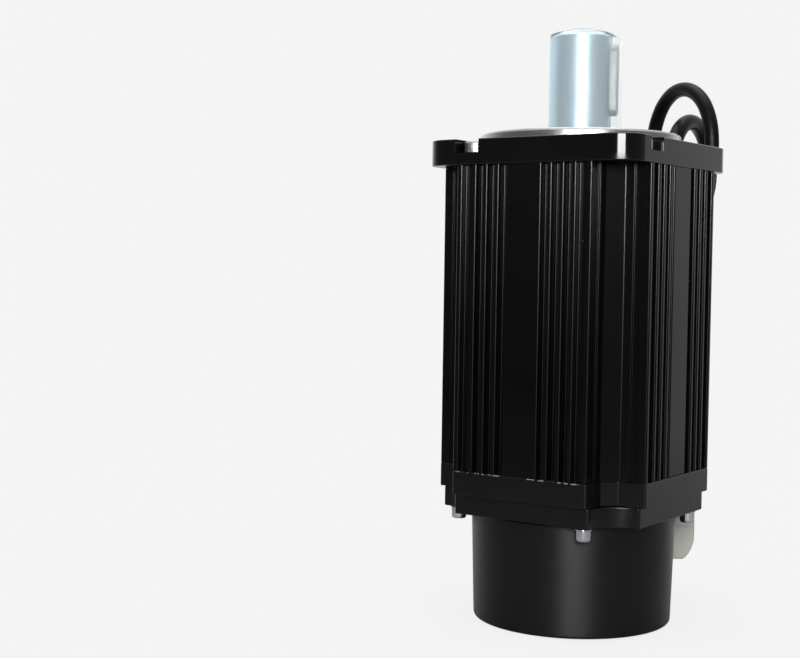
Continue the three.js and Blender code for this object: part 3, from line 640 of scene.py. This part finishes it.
# plugs: moulded shells with rounded faces, recessed grip ribs, cavities with contacts
def plug_outline(x0, x1, z0, z1, rx, rz):
    """Front view of a plug: soft swept corners at the mating end, small ones at the lead end."""
    def sweep(p, q, r, n=9):
        return [tuple((1 - t) ** 2 * p[k] + 2 * t * (1 - t) * q[k] + t * t * r[k] for k in (0, 1)) for t in [i / n for i in range(n + 1)]]
    pts = sweep((x1 - rx, z0), (x1 - rx * 0.28, z0 + rz * 0.25), (x1, z0 + rz))
    pts += [(x1, z1 - 1), (x1 - 0.3, z1 - 0.3), (x1 - 1, z1), (x0 + 1, z1), (x0 + 0.3, z1 - 0.3), (x0, z1 - 1)]
    pts += sweep((x0, z0 + rz), (x0 + rx * 0.28, z0 + rz * 0.25), (x0 + rx, z0))
    return pts

def plug(name, x0, x1, y0, y1, z0, z1, rx, rz, mat, cav, depth, fine):
    """Body between z0 and z1, open cavities at the bottom."""
    o = prism(name, plug_outline(x0, x1, z0, z1, rx, rz), y0, y1, (mat,), bevel=0.7, seg=3, axis='Y')
    # recessed side grips
    for zz in range(3):
        z = z0 + 9.5 + zz * 2.4 if fine else z0 + 12 + zz * 3.0
        for y in (y0, y1):
            g = prism("c", fillet([(x0 + 3, z), (x1 - 3, z), (x1 - 3, z + 1.1), (x0 + 3, z + 1.1)], 0.5), y - 0.45, y + 0.45, (mat,), axis='Y')
            boolean(o, g)
    # parting line round the body
    for x in (x0, x1):
        g = prism("c", [(x - 0.18, z0 - 1), (x + 0.18, z0 - 1), (x + 0.18, z1 + 1), (x - 0.18, z1 + 1)], (y0 + y1) / 2 - 0.15, (y0 + y1) / 2 + 0.15, (mat,), axis='Y')
        boolean(o, g)
    for cx0, cx1, cy0, cy1 in cav:
        g = prism("c", fillet([(cx0, cy0), (cx1, cy0), (cx1, cy1), (cx0, cy1)], 0.35), z0 - 2, z0 + depth, (mat,))
        boolean(o, g)
    return o

PLUG_TURN = 34.8
pc_cav = [(-2.2, 5.0, -5.2, 5.2)]
pc_pins = [(x - 1.15, x + 1.15, y - 1.15, y + 1.15) for x in (-0.9, 3.7) for y in (-4.3, 4.3)]
ec_cav = [(x, x + 3.4, y, y + 4.6) for x in (-14.6, -10.0, -5.4) for y in (51.2, 57.2)]
power_plug = plug("power_plug", -7, 9.8, -7, 7, 13.9, 44.9, 4.2, 7.4, M_BEIGE, pc_cav, 8.1, False)
encoder_plug = plug("encoder_plug", -16.4, -0.2, 49.5, 63.5, 34, 66.2, 1.6, 2.4, M_IVORY, ec_cav, 8.9, True)

def contacts(name, cav, z0, depth):
    bm = bmesh.new()
    for cx0, cx1, cy0, cy1 in cav:
        cx, cy = (cx0 + cx1) / 2, (cy0 + cy1) / 2
        w, h = (cx1 - cx0) * 0.24, (cy1 - cy0) * 0.24
        pts = fillet([(cx - w, cy - h), (cx + w, cy - h), (cx + w, cy + h), (cx - w, cy + h)], 0.3)
        tip = [(cx + (x - cx) * 0.55, cy + (y - cy) * 0.55) for x, y in pts]
        rings = [[bm.verts.new((x, y, z0 + 2.0)) for x, y in tip], [bm.verts.new((x, y, z0 + 3.0)) for x, y in pts],
                 [bm.verts.new((x, y, z0 + depth - 0.1)) for x, y in pts]]
        n = len(pts)
        bm.faces.new(rings[0][::-1])
        bm.faces.new(rings[2])
        for a, b in zip(rings, rings[1:]):
            for i in range(n):
                bm.faces.new((a[i], a[(i + 1) % n], b[(i + 1) % n], b[i]))
    scaled(bm)
    return new_obj(name, bm, (M_PIN,))

power_pins = contacts("power_contacts", pc_pins, 13.9, 8.1)
for o in (power_plug, power_pins):
    move(turn(o, PLUG_TURN), 10.5, 56, 0)
encoder_pins = contacts("encoder_contacts", ec_cav, 34, 8.9)

# strain reliefs: flange, collar and a ribbed taper
OUT = Vector((-0.342, 0.940, 0)).normalized()
def relief(name, off, cable_r):
    prof = [(cable_r * 0.98, 28.3), (4.2, 28.3), (4.2, 37.1), (6.3, 37.1), (6.3, 38.9), (5.1, 39.2)]
    z = 40.2
    r0, r1 = 4.75, cable_r + 1.05
    end = 56.6
    while z < end - 1.2:
        t = (z - 40.2) / (end - 40.2)
        r = r0 + (r1 - r0) * t
        prof += [(r, z), (r, z + 1.0), (r - 0.55, z + 1.25), (r - 0.55, z + 1.75)]
        z += 2.05
    prof += [(cable_r + 0.9, end), (cable_r + 0.9, 57.6), (cable_r + 0.55, 58.0), (cable_r * 0.98, 58.0)]
    prof = rounded_profile(prof, 0.28)
    o = lathe(name, prof, 48, (M_RELIEF,))
    m = Matrix((
        (-OUT.y, 0, OUT.x, -off * -OUT.y * 0),
        (OUT.x, 0, OUT.y, 0),
        (0, 1, 0, 0),
        (0, 0, 0, 1)))
    # lathe axis Z goes along OUT; local X goes along the side direction, local Y goes up
    place(o, m)
    side = Vector((-OUT.y, OUT.x, 0))
    move(o, *(side * -off + Vector((0, 0, 20))))
    return o
r_power = relief("power_strain_boot", -7.5, 2.7)
r_encoder = relief("encoder_strain_boot", 7.5, 3.0)

# tie round the runs, with its lock
inner = [[-4.94, 51.20], [-3.40, 49.66], [-1.30, 49.10], [6.90, 50.00], [8.75, 50.50], [10.10, 51.85], [10.60, 53.70], [10.10, 55.55], [7.04, 64.30], [5.50, 65.84], [3.00, 66.40], [-5.80, 64.20], [-7.65, 63.70], [-9.00, 62.35], [-9.50, 60.50], [-9.00, 58.65]]
outer = [[-6.06, 50.55], [-4.05, 48.54], [-1.30, 47.80], [6.90, 48.70], [9.40, 49.37], [11.23, 51.20], [11.90, 53.70], [11.23, 56.20], [8.16, 64.95], [6.15, 66.96], [3.00, 67.70], [-5.80, 65.50], [-8.30, 64.83], [-10.13, 63.00], [-10.80, 60.50], [-10.13, 58.00]]
tie = prism("tie_band", fillet([tuple(p) for p in outer], 1.6), 109.8, 114.2, (M_TIE,), bevel=0.35)
boolean(tie, prism("c", fillet([tuple(p) for p in inner], 1.2), 108, 116, (M_TIE,)))
lock = prism("c", fillet([(8.2, 57.5), (13.0, 57.5), (13.0, 62.5), (8.2, 62.5)], 0.8), 109.4, 114.6, (M_TIE,), bevel=0.6)
boolean(lock, prism("c", fillet([(9.4, 58.9), (11.9, 58.9), (11.9, 61.2), (9.4, 61.2)], 0.3), 113.2, 116, (M_TIE,)))
boolean(tie, lock, 'UNION')

done(power_plug, "motor_body", ["power_connector"])
done(encoder_plug, "motor_body", ["encoder_connector"])
for o, s in ((power_pins, "zinc_screw"), (encoder_pins, "zinc_screw")):
    done(o, "motor_body", [])
done(r_power, "motor_body", ["power_strain_relief"])
done(r_encoder, "motor_body", ["encoder_strain_relief"])
done(tie, "motor_body", ["cable_tie"])
for o, n in ((power, "power_lead"), (encoder, "encoder_lead")):
    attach(o, "motor_body")
    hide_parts(n)

# ------------------------------------------------------------------ finned housing
W, F, PANEL = 39.9, 36.4, 39.4
PQ = 25.6
tips = [(-PQ, -23.6), (-19.9, -18.0), (-15.5, -13.6), (-11.0, -9.1), (-6.7, 6.7), (9.1, 11.0), (13.6, 15.5), (18.0, 19.9), (23.6, PQ)]
face, rads = [], []
for i, (a, b) in enumerate(tips):
    lv = PANEL if i == 4 else W
    face += [(a, -lv), (b, -lv)]
    rads += [0.58, 0.58]
    if i < len(tips) - 1:
        f = 37.2 if i in (0, len(tips) - 2) else F
        face += [(b, -f), (tips[i + 1][0], -f)]
        rads += [0.4, 0.4]
pocket = [(25.65, -36.2), (24.95, -36.2), (24.95, -33.9), (25.75, -33.9), (26, -30.8), (30.8, -26), (33.9, -25.75), (33.9, -24.95), (36.2, -24.95), (36.2, -25.65)]
prad = [0.2, 0.2, 0.2, 0.25, 0.9, 0.9, 0.25, 0.2, 0.2, 0.2]
outline = fillet(quarter(face + pocket), (rads + prad) * 4)
body = prism("housing_finned", outline, 53.9, 158.36, (M_BODY,), bevel=0.12, seg=2)
boolean(body, prism("c", circle(33.2, 96), 50, 162, (M_BODY,)))
for k in range(4):
    for s, r in ((-1, 2.3), (1, 1.8)):
        boolean(body, prism("c", circle(r, 20, *turned_pt(s * 22, -34, k)), 50, 162, (M_BODY,)))
done(body, "motor_body", ["housing_extrusion"], angle=28)

# ------------------------------------------------------------------ front flange and pilot
h = 40.0
fl = prism("flange_block", fillet([(-h, -h), (h, -h), (h, h), (-h, h)], 9.0), 158.4, 167.2, (M_FLANGE, M_PILOT, M_MILLED), bevel=0.45, seg=4)
# finer corners than the fillet helper gives by default come from its arc step
pil = lathe("pilot", [(0, 160), (35.0 - 0.0, 160), (35.0, 169.5), (34.75, 169.95), (34.2, 170.3), (0, 170.3)], 160, (M_PILOT,))
boolean(fl, pil, 'UNION')
spig = lathe("c", [(0, 145.4), (28, 145.4), (28, 154.6), (32.5, 154.6), (32.9, 155.0), (32.9, 159.4), (0, 159.4)], 96, (M_MILLED,))
boolean(fl, spig, 'UNION')
boolean(fl, lathe("c", [(0, 144), (23.8, 144), (23.8, 161.3), (14, 161.3), (14, 162.7), (17.8, 162.7), (17.8, 169.6), (18.5, 170.4), (18.6, 172), (0, 172)], 96, (M_MILLED,)))
for k in range(4):
    bx, by = turned_pt(45 * math.sqrt(.5), -45 * math.sqrt(.5), k)
    hole = lathe("c", [(0, 157), (3.3, 157), (3.3, 166.8), (4.0, 167.5), (4.0, 169), (0, 169)], 40, (M_FLANGE,))
    boolean(fl, move(hole, bx, by, 0))
    w = 4.7
    pts = [(-22 - w, -44), (-22 + w, -44), (-22 + w, -34)]
    pts += [(-22 + w * cos(a), -34 + w * sin(a)) for a in [math.radians(d) for d in range(8, 180, 8)]]
    pts += [(-22 - w, -34)]
    n = prism("c", pts, 162.4, 170, (M_FLANGE,))
    boolean(fl, turn(n, 90 * k))
    sx, sy = turned_pt(-22, -34, k)
    boolean(fl, prism("c", circle(2.3, 24, sx, sy), 150, 165, (M_MILLED,)))
edge_bevel(fl, 0.3, 3, 50)
done(fl, "motor_body", ["front_flange"], angle=26)

# seal with a dust lip and spring groove
seal = lathe("shaft_seal_lip", rounded_profile([(10.3, 164.4), (11.6, 163), (17.5, 163), (17.5, 169.9), (16.6, 169.9), (16.2, 169.3), (13.2, 169.3), (12.8, 169.8), (11.4, 169.8), (10.75, 168.6), (10.35, 167.6), (10.9, 166.2), (10.3, 164.4)][:-1], 0.15), 96, (M_SEAL,))
done(seal, "motor_body", ["shaft_oil_seal"])

# ------------------------------------------------------------------ rear end bell, rear plate
bw = 40.0
bell = prism("rear_bell", fillet(quarter([(-PQ, -bw), (PQ, -bw), (26.2, -30.5), (30.5, -26.2)]), [0.7, 0.7, 0.8, 0.8] * 4), 45.7, 53.86, (M_BELL,), bevel=0.35, seg=3)
hub = lathe("c", [(0, 52), (32.9, 52), (32.9, 57.2), (29.5, 57.2), (29.5, 54.5), (21.5, 54.5), (21.5, 60), (0, 60)], 96, (M_BELL,))
boolean(bell, hub, 'UNION')
boolean(bell, lathe("c", [(0, 45), (12.5, 45), (12.5, 47), (17.8, 47), (17.8, 61), (0, 61)], 72, (M_BELL,)))
for k in range(4):
    boolean(bell, prism("c", circle(1.8, 20, *turned_pt(22, -34, k)), 44, 56, (M_BELL,)))
boolean(bell, prism("c", circle(2.6, 24, -8.6, 23.8), 44, 58, (M_BELL,)))
done(bell, "motor_body", ["rear_end_bell"], angle=28)

pw, pr = 38.1, 12.4
side = [(-pw + pr, -pw)]
arc = []
for i in range(0, 13):
    a = math.radians(180 - 90 * i / 12)
    arc.append((pw + pr * cos(a), -pw + pr * sin(a)))
# every corner notch is a quarter circle about the corner, its ends softened
pts4, rad4 = [], []
for k in range(4):
    for i, (x, y) in enumerate(arc):
        pts4.append(turned_pt(x, y, k))
        rad4.append(0.9 if i in (0, 12) else 0.0)
plate = prism("rear_cover_plate", fillet(pts4, rad4), 38.8, 45.66, (M_PLATE,), bevel=0.4, seg=3)
boolean(plate, prism("c", circle(12.5, 64), 37, 47, (M_PLATE,)))
for k in range(4):
    boolean(plate, prism("c", circle(1.8, 20, *turned_pt(22, -34, k)), 37, 47, (M_PLATE,)))
for a in (30, 150, 270):
    boolean(plate, prism("c", circle(1.8, 20, 30 * cos(math.radians(a)), 30 * sin(math.radians(a))), 37, 44.2, (M_PLATE,)))
boolean(plate, prism("c", circle(2.6, 24, -8.6, 23.8), 37, 47, (M_PLATE,)))
done(plate, "motor_body", ["rear_plate"], angle=28)

# ------------------------------------------------------------------ round encoder cover with outlet pad
prof = [(0, 0.0), (33.6, 0.0)]
for i in range(1, 8):
    a = math.radians(-90 + 90 * i / 8)
    prof.append((33.6 + 1.2 * cos(a), 1.2 + 1.2 * sin(a)))
prof += [(34.82, 1.6), (35.95, 38.0), (35.6, 38.4), (34.9, 38.5), (0, 38.5)]
cover = lathe("round_cover", prof, 160, (M_COVER,))
pad = prism("c", fillet([(28.3, -14), (36.8, -14), (36.8, 14), (28.3, 14)], [0.5, 1.6, 1.6, 0.5]), 11, 29, (M_COVER,), bevel=1.0, seg=4)
place(pad, Matrix((( OUT.x, -OUT.y, 0, 0), (OUT.y, OUT.x, 0, 0), (0, 0, 1, 0), (0, 0, 0, 1))))
boolean(cover, pad, 'UNION')
boolean(cover, lathe("c", [(0, 3), (32.7, 3), (33.7, 40), (0, 40)], 96, (M_COVER,)))
for a in (30, 150, 270):
    x, y = 30 * cos(math.radians(a)), 30 * sin(math.radians(a))
    boolean(cover, prism("c", circle(3.4, 24, x, y), 1.5, 38.3, (M_COVER,)), 'UNION')
    boolean(cover, prism("c", circle(1.8, 20, x, y), -1, 40, (M_COVER,)))
    boolean(cover, move(lathe("c", [(0, -1), (3.6, -1), (3.4, 0.0), (3.1, 0.35), (3.1, 3.3), (0, 3.3)], 32, (M_COVER,)), x, y, 0))
for s in (-1, 1):
    hole = lathe("c", [(0, 26), (4.5, 26), (4.5, 36.3), (5.1, 37.2), (5.1, 40), (0, 40)], 40, (M_COVER,))
    place(hole, Matrix(((-OUT.y, 0, OUT.x, 0), (OUT.x, 0, OUT.y, 0), (0, 1, 0, 0), (0, 0, 0, 1))))
    boolean(cover, move(hole, *(Vector((-OUT.y, OUT.x, 0)) * (7.5 * s) + Vector((0, 0, 20)))))
done(cover, "motor_body", ["encoder_cover"], angle=30)

# ------------------------------------------------------------------ screws
def cap_screw(name, head_r, head_h, socket_r, shank_r, length, mats, washers=(), teeth=32, edge=0.14):
    """Socket head cap screw, head above z = 0: knurled head, chamfered socket, threaded shank."""
    c = edge * head_r
    pitch = 0.5 if shank_r < 1.7 else 0.7
    prof = [(0, -length), (shank_r * 0.75, -length), (shank_r * 0.98, -length + 0.5)]
    z = -length + 0.5
    while z < -1.2:
        prof += [(shank_r * 0.98, z), (shank_r * 0.84, z + pitch / 2)]
        z += pitch
    prof += [(shank_r, z), (shank_r, 0.001), (head_r * 0.92, 0.001), (head_r, 0.18)]
    zs = [0.35 + (head_h - c - 0.65) * i / 3 for i in range(4)]
    prof += [(head_r, z) for z in zs]
    prof += [(head_r * 0.965, head_h - c), (head_r * 0.93, head_h - c * 0.45), (head_r * 0.84, head_h - 0.02), (head_r * 0.78, head_h), (0, head_h)]
    o = lathe(name, prof, 128, mats, knurl=(teeth, head_r * 0.018, 0.3, head_h - c - 0.25, head_r * 0.95))
    for r, z0, z1 in washers:
        boolean(o, lathe("c", rounded_profile([(0, z0), (r, z0), (r, z1), (0, z1)], 0.12), 64, mats), 'UNION')
    hexa = prism("c", circle(socket_r, 6), head_h * 0.5, head_h + 1, mats)
    boolean(o, hexa)
    boolean(o, lathe("c", [(0, head_h - 0.25), (socket_r * 0.86, head_h - 0.25), (socket_r * 1.12, head_h + 0.05), (0, head_h + 0.05)], 32, mats))
    return o

proto = cap_screw("flange_cap_screw_1", 3.8, 4.0, 1.73, 2.0, 13.5, (M_ZINC,))
proto.data.shade_smooth(); proto.data.set_sharp_from_angle(angle=math.radians(30))
for k in range(4):
    o = proto if k == 3 else proto.copy()
    if k < 3:
        o.data = proto.data.copy()
        scene.collection.objects.link(o)
    turn(o, 23 * k + 9)
    x, y = turned_pt(-22, -34, k)
    move(o, x, y, 162.7)
    o.name = f"flange_cap_screw_{k + 1}"
    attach(o, "motor_body"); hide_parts(f"flange_screw_{k + 1}")

proto = cap_screw("rear_cap_screw_1", 2.62, 4.2, 1.44, 1.5, 26, (M_HEAD,), washers=((2.95, 0.0, 0.5), (2.6, 0.45, 1.35)), teeth=26, edge=0.2)
proto.data.shade_smooth(); proto.data.set_sharp_from_angle(angle=math.radians(30))
turn(proto, 180, 'X')
for k in range(4):
    o = proto if k == 3 else proto.copy()
    if k < 3:
        o.data = proto.data.copy()
        scene.collection.objects.link(o)
    turn(o, 31 * k + 14)
    x, y = turned_pt(22, -34, k)
    move(o, x, y, 38.5)
    o.name = f"rear_cap_screw_{k + 1}"
    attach(o, "motor_body"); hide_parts(f"rear_screw_{k + 1}")

proto = cap_screw("cover_cap_screw_1", 2.75, 2.5, 1.3, 1.5, 39, (M_ZINC,), teeth=26)
proto.data.shade_smooth(); proto.data.set_sharp_from_angle(angle=math.radians(30))
turn(proto, 180, 'X')
for i, a in enumerate((30, 150, 270)):
    o = proto if i == 2 else proto.copy()
    if i < 2:
        o.data = proto.data.copy()
        scene.collection.objects.link(o)
    turn(o, 17 * i)
    move(o, 30 * cos(math.radians(a)), 30 * sin(math.radians(a)), 3.0)
    o.name = f"cover_cap_screw_{i + 1}"
    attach(o, "motor_body"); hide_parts(f"cover_screw_{i + 1}")

# ------------------------------------------------------------------ shaft, key, clear cap
KEY_A = 28
sh = lathe("ground_shaft", [(0, 27.5), (3.6, 27.5), (4, 27.9), (4, 44), (7.5, 44), (7.5, 61), (11, 61), (11, 146.5), (10, 146.5), (10, 170.6), (9.9, 170.9),
    (9.5, 171.1), (9.5, 204.4), (9.42, 204.7), (8.75, 205.25), (8.6, 205.3), (0, 205.3)], 128, (M_SHAFT,))
def key_shape(l, w):
    """Outline with round ends: long side along the second axis."""
    pts = []
    for i in range(17):
        a = pi * i / 16
        pts.append((w * cos(a), l - w + w * sin(a)))
    for i in range(17):
        a = pi + pi * i / 16
        pts.append((w * cos(a), -(l - w) + w * sin(a)))
    return pts
KZ = 177.3 + 12.5
def key_prism(name, l, w, x0, x1, mats, bevel):
    o = prism(name, [(y, z + KZ) for y, z in key_shape(l, w)], x0, x1, mats, bevel=bevel, seg=2, axis='X')
    return turn(o, KEY_A)
boolean(sh, key_prism("c", 12.75, 3.25, 5.7, 13.7, (M_SHAFT,), 0))
boolean(sh, lathe("c", [(0, 189.3), (2.5, 189.3), (2.5, 203.2), (3.4, 204.7), (3.4, 206.3), (0, 206.3)], 32, (M_SHAFT,)))
done(sh, "rotor", ["shaft"], angle=28)
key = key_prism("shaft_feather_key", 12.5, 3.0, 6.0, 12.0, (M_KEY,), 0.25)
done(key, "rotor", ["shaft_key"], angle=30)

def cap_outline(r, rb, cx, fil, n=96):
    """Outline of a circle of radius r joined with a smaller circle of radius rb centred cx out, valleys softened by fil."""
    pts = []
    N = 720
    for i in range(N):
        a = 2 * pi * i / N
        d1 = r
        # distance along this ray to the far side of the bulge circle
        b = cx * cos(a)
        disc = b * b - (cx * cx - rb * rb)
        d2 = b + math.sqrt(disc) if disc > 0 and b > 0 else 0.0
        k = fil
        # smooth maximum of the two
        m = max(d1, d2)
        if d2 > 0:
            hh = max(k - abs(d1 - d2), 0.0) / k
            m += hh * hh * k * 0.25
        pts.append((a, m))
    # thin out, keeping more points round the bulge
    out = []
    for i, (a, m) in enumerate(pts):
        near = min(a, 2 * pi - a) < 0.75
        if i % (4 if near else 8) == 0:
            out.append((m * cos(a), m * sin(a)))
    return out

def loft(name, rings, mats):
    """Closed skin through rings of equal point count; ring = list of (x, y, z). First and last are capped."""
    bm = bmesh.new()
    R = [[bm.verts.new(p) for p in ring] for ring in rings]
    n = len(R[0])
    bm.faces.new(R[0][::-1])
    bm.faces.new(R[-1])
    for a, b in zip(R, R[1:]):
        for i in range(n):
            bm.faces.new((a[i], a[(i + 1) % n], b[(i + 1) % n], b[i]))
    scaled(bm)
    return new_obj(name, bm, mats)

def at(outline, z, scale=1.0, inset=0.0):
    res = []
    for x, y in outline:
        r = math.hypot(x, y)
        f = (r - inset) / r
        res.append((x * f, y * f, z))
    return res

full = cap_outline(11.17, 5.15, 8.9, 1.2)
round_ = cap_outline(11.17, 2.0, 2.0, 1.2)
rings = [at(full, 171.25, inset=0.25), at(full, 171.5, inset=0.02), at(full, 172), at(full, 185), at(full, 198), at(full, 203.9)]
# the bulge fades into the round end, which has a soft edge
def blend_outline(t):
    return [((1 - t) * a[0] + t * b[0], (1 - t) * a[1] + t * b[1]) for a, b in zip(full, [(11.17 * x / math.hypot(x, y), 11.17 * y / math.hypot(x, y)) for x, y in full])]
for z, t, ins in ((204.4, 0.03, 0.0), (204.9, 0.14, 0.02), (205.25, 0.42, 0.06), (205.55, 0.8, 0.14), (205.8, 1.0, 0.26), (206.05, 1.0, 0.44), (206.28, 1.0, 0.72), (206.45, 1.0, 1.1), (206.55, 1.0, 1.7)):
    rings.append(at(blend_outline(t), z, inset=ins))
capo = loft("clear_shaft_cover", rings, (M_CLEAR, M_WET))
cut = lathe("c", [(0, 170), (9.9, 170), (9.9, 205.0), (9.6, 205.5), (9.2, 205.6), (0, 205.6)], 96, (M_WET,))
cut2 = prism("c", fillet([(4, -3.3), (12.4, -3.3), (12.4, 3.3), (4, 3.3)], 0.5), 170, 202.8, (M_WET,))
boolean(cut, cut2, 'UNION')
boolean(capo, cut)
turn(capo, KEY_A)
# the inner wall is told by how close it is to the axis
me = capo.data
me.materials.clear()
me.materials.append(M_CLEAR)
me.materials.append(M_WET)
for p in me.polygons:
    c = p.center
    r = math.hypot(c.x, c.y) / S
    a = math.radians(KEY_A)
    lx = (c.x * cos(a) + c.y * sin(a)) / S
    ly = (-c.x * sin(a) + c.y * cos(a)) / S
    nrm = p.normal
    inward = (nrm.x * c.x + nrm.y * c.y) < 0
    z = c.z / S
    chan = 3.9 < lx < 12.45 and abs(ly) < 3.35
    is_in = (r < 9.95 and z < 205.65 and (inward or abs(nrm.z) > 0.3)) or (chan and z < 202.85 and z > 171.3)
    if z < 171.27 and nrm.z < -0.5:
        is_in = False
    p.material_index = 1 if is_in else 0
done(capo, "cap", ["shaft_cap"], angle=40, weighted=False)

# ------------------------------------------------------------------ blank rating plate on the left panel
rp = prism("blank_rating_plate", fillet([(-6.2, 84), (6.2, 84), (6.2, 124), (-6.2, 124)], 1.0), -39.9, -39.55, (M_PLATEMET,), bevel=0.08, seg=2, axis='X')
for z in (86.2, 121.8):
    rv = lathe("c", [(0, -0.2), (1.1, -0.2), (1.1, 0.1), (0, 0.1)], 20, (M_PLATEMET,))
    place(rv, Matrix.Rotation(math.radians(-90), 4, 'Y'))
    bpy.data.objects.remove(rv)
done(rp, "motor_body", ["rating_plate"])

# ------------------------------------------------------------------ inner parts keep their CAD shape and get a finish
FIN = {
    "housing_o_ring": M_SEAL, "stator_core": M_LAM, "slot_insulator_front": M_INSUL, "slot_insulator_rear": M_INSUL,
    "stator_winding": M_COPPER, "rotor_core": M_LAM, "rotor_end_ring_front": M_ALU, "rotor_end_ring_rear": M_ALU,
    "front_bearing_outer_ring": M_BRG, "front_bearing_inner_ring": M_BRG, "rear_bearing_outer_ring": M_BRG, "rear_bearing_inner_ring": M_BRG,
    "front_bearing_ball_cage": M_BRASS, "rear_bearing_ball_cage": M_BRASS, "bearing_retaining_ring": M_SPRING, "rear_wave_spring": M_SPRING,
    "encoder_hub": M_ALU, "encoder_disc": M_DISC, "encoder_base": M_BLKPL, "encoder_board": M_BOARD, "encoder_screw_1": M_ZINC,
    "encoder_screw_2": M_ZINC, "encoder_reader": M_BLKPL, "board_connector": M_IVORY,
}
for i in range(1, 9):
    FIN[f"magnet_{i}"] = M_MAGNET
for n, m in FIN.items():
    o = NODES[n]
    o.data.materials.clear()
    o.data.materials.append(m)

# ------------------------------------------------------------------ floor, world, lights
def floor_mat():
    """Pale sheet: glows evenly to the eye, with a painted shadow under the part taken from ambient occlusion, duller in
    reflections, fading out.
    """
    m = bpy.data.materials.new("pale_floor")
    m.use_nodes = True
    nt = m.node_tree
    b = nt.nodes["Principled BSDF"]
    out = nt.nodes["Material Output"]
    v = coords(nt)
    b.inputs["Base Color"].default_value = (0.30, 0.30, 0.30, 1)
    b.inputs["Roughness"].default_value = 0.7
    b.inputs["Specular IOR Level"].default_value = 0.1
    ao = nt.nodes.new("ShaderNodeAmbientOcclusion")
    ao.inputs["Distance"].default_value = 0.11
    ao.samples = 16
    em = nt.nodes.new("ShaderNodeEmission")
    # painted shadow: the glow the eye sees darkens from 0.905 to 0.72 where ambient occlusion finds the part close by
    link(nt, ramp(nt, ao.outputs["AO"], [(0.0, grey(0.72)), (0.45, grey(0.86)), (0.85, grey(0.905))]), em.inputs["Color"])
    lp = nt.nodes.new("ShaderNodeLightPath")
    eye = nt.nodes.new("ShaderNodeMixShader")
    link(nt, lp.outputs["Is Camera Ray"], eye.inputs[0])
    link(nt, b.outputs[0], eye.inputs[1])
    link(nt, em.outputs[0], eye.inputs[2])
    s = sep(nt, v)
    rr = math_node(nt, 'SQRT', math_node(nt, 'ADD', math_node(nt, 'MULTIPLY', s[0], s[0]), math_node(nt, 'MULTIPLY', s[1], s[1])))
    fade = mapr(nt, rr, 0.0, 1.0, 0.15, 0.6)
    t = nt.nodes.new("ShaderNodeBsdfTransparent")
    mix = nt.nodes.new("ShaderNodeMixShader")
    link(nt, fade, mix.inputs[0])
    link(nt, eye.outputs[0], mix.inputs[1])
    link(nt, t.outputs[0], mix.inputs[2])
    link(nt, mix.outputs[0], out.inputs["Surface"])
    return m

bm = bmesh.new()
bmesh.ops.create_circle(bm, cap_ends=True, segments=96, radius=1.2)
for v in bm.verts:
    v.co.z = -0.0001
floor = new_obj("floor", bm, (floor_mat(),))

world = bpy.data.worlds.new("studio")
scene.world = world
world.use_nodes = True
nt = world.node_tree
for n in list(nt.nodes):
    nt.nodes.remove(n)
wout = nt.nodes.new("ShaderNodeOutputWorld")
tc = nt.nodes.new("ShaderNodeTexCoord")
d = sep(nt, tc.outputs["Generated"])
# bright sweep behind the part, a dimmer room at the sides and in front
back = math_node(nt, 'ADD', math_node(nt, 'MULTIPLY', d[1], 0.82), math_node(nt, 'MULTIPLY', d[0], -0.571))
side_ = math_node(nt, 'ADD', math_node(nt, 'MULTIPLY', d[1], 0.571), math_node(nt, 'MULTIPLY', d[0], 0.82))
half = mapr(nt, back, 0.0, 1.0, -1.0, 1.0)
level = math_node(nt, 'MULTIPLY', ramp(nt, half, [(0.0, grey(0.09)), (0.33, grey(0.12)), (0.67, grey(0.165)), (0.85, grey(0.62)), (0.955, grey(1.0)), (0.985, grey(0.72)), (1.0, grey(0.66))]), 1.3)
level = math_node(nt, 'MULTIPLY', level, mapr(nt, side_, 0.85, 1.15, -1.0, 1.0))
top = mapr(nt, d[2], 0.0, 0.9, 0.05, 0.95)
lit = math_node(nt, 'MAXIMUM', level, top)
col = nt.nodes.new("ShaderNodeCombineColor")
for i in range(3):
    link(nt, lit, col.inputs[i])
bg_l = nt.nodes.new("ShaderNodeBackground")
link(nt, col.outputs[0], bg_l.inputs["Color"])
bg_c = nt.nodes.new("ShaderNodeBackground")
bg_c.inputs["Color"].default_value = (0.905, 0.905, 0.905, 1)
lp = nt.nodes.new("ShaderNodeLightPath")
mx = nt.nodes.new("ShaderNodeMixShader")
link(nt, lp.outputs["Is Camera Ray"], mx.inputs[0])
link(nt, bg_l.outputs[0], mx.inputs[1])
link(nt, bg_c.outputs[0], mx.inputs[2])
link(nt, mx.outputs[0], wout.inputs["Surface"])

def area(name, loc, target, sx, sy, power, color=(1, 1, 1)):
    l = bpy.data.lights.new(name, 'AREA')
    l.shape = 'RECTANGLE'
    l.size, l.size_y = sx, sy
    l.energy = power
    l.color = color
    o = bpy.data.objects.new(name, l)
    scene.collection.objects.link(o)
    o.location = loc
    o.rotation_euler = (Vector(target) - Vector(loc)).to_track_quat('-Z', 'Y').to_euler()
    return o

area("key_front", (0.40, -0.645, 0.275), (0, 0, 0.15), 0.40, 0.17, 6.2)
area("low_strip", (0.335, -0.677, 0.095), (0, 0, 0.06), 0.20, 0.16, 0.5)
area("top_soft", (-0.1, 0.1, 1.1), (0, 0, 0.1), 0.9, 0.9, 5.0)

scene.view_settings.view_transform = 'Standard'
scene.view_settings.look = 'None'
scene.view_settings.exposure = 0
scene.view_settings.gamma = 1
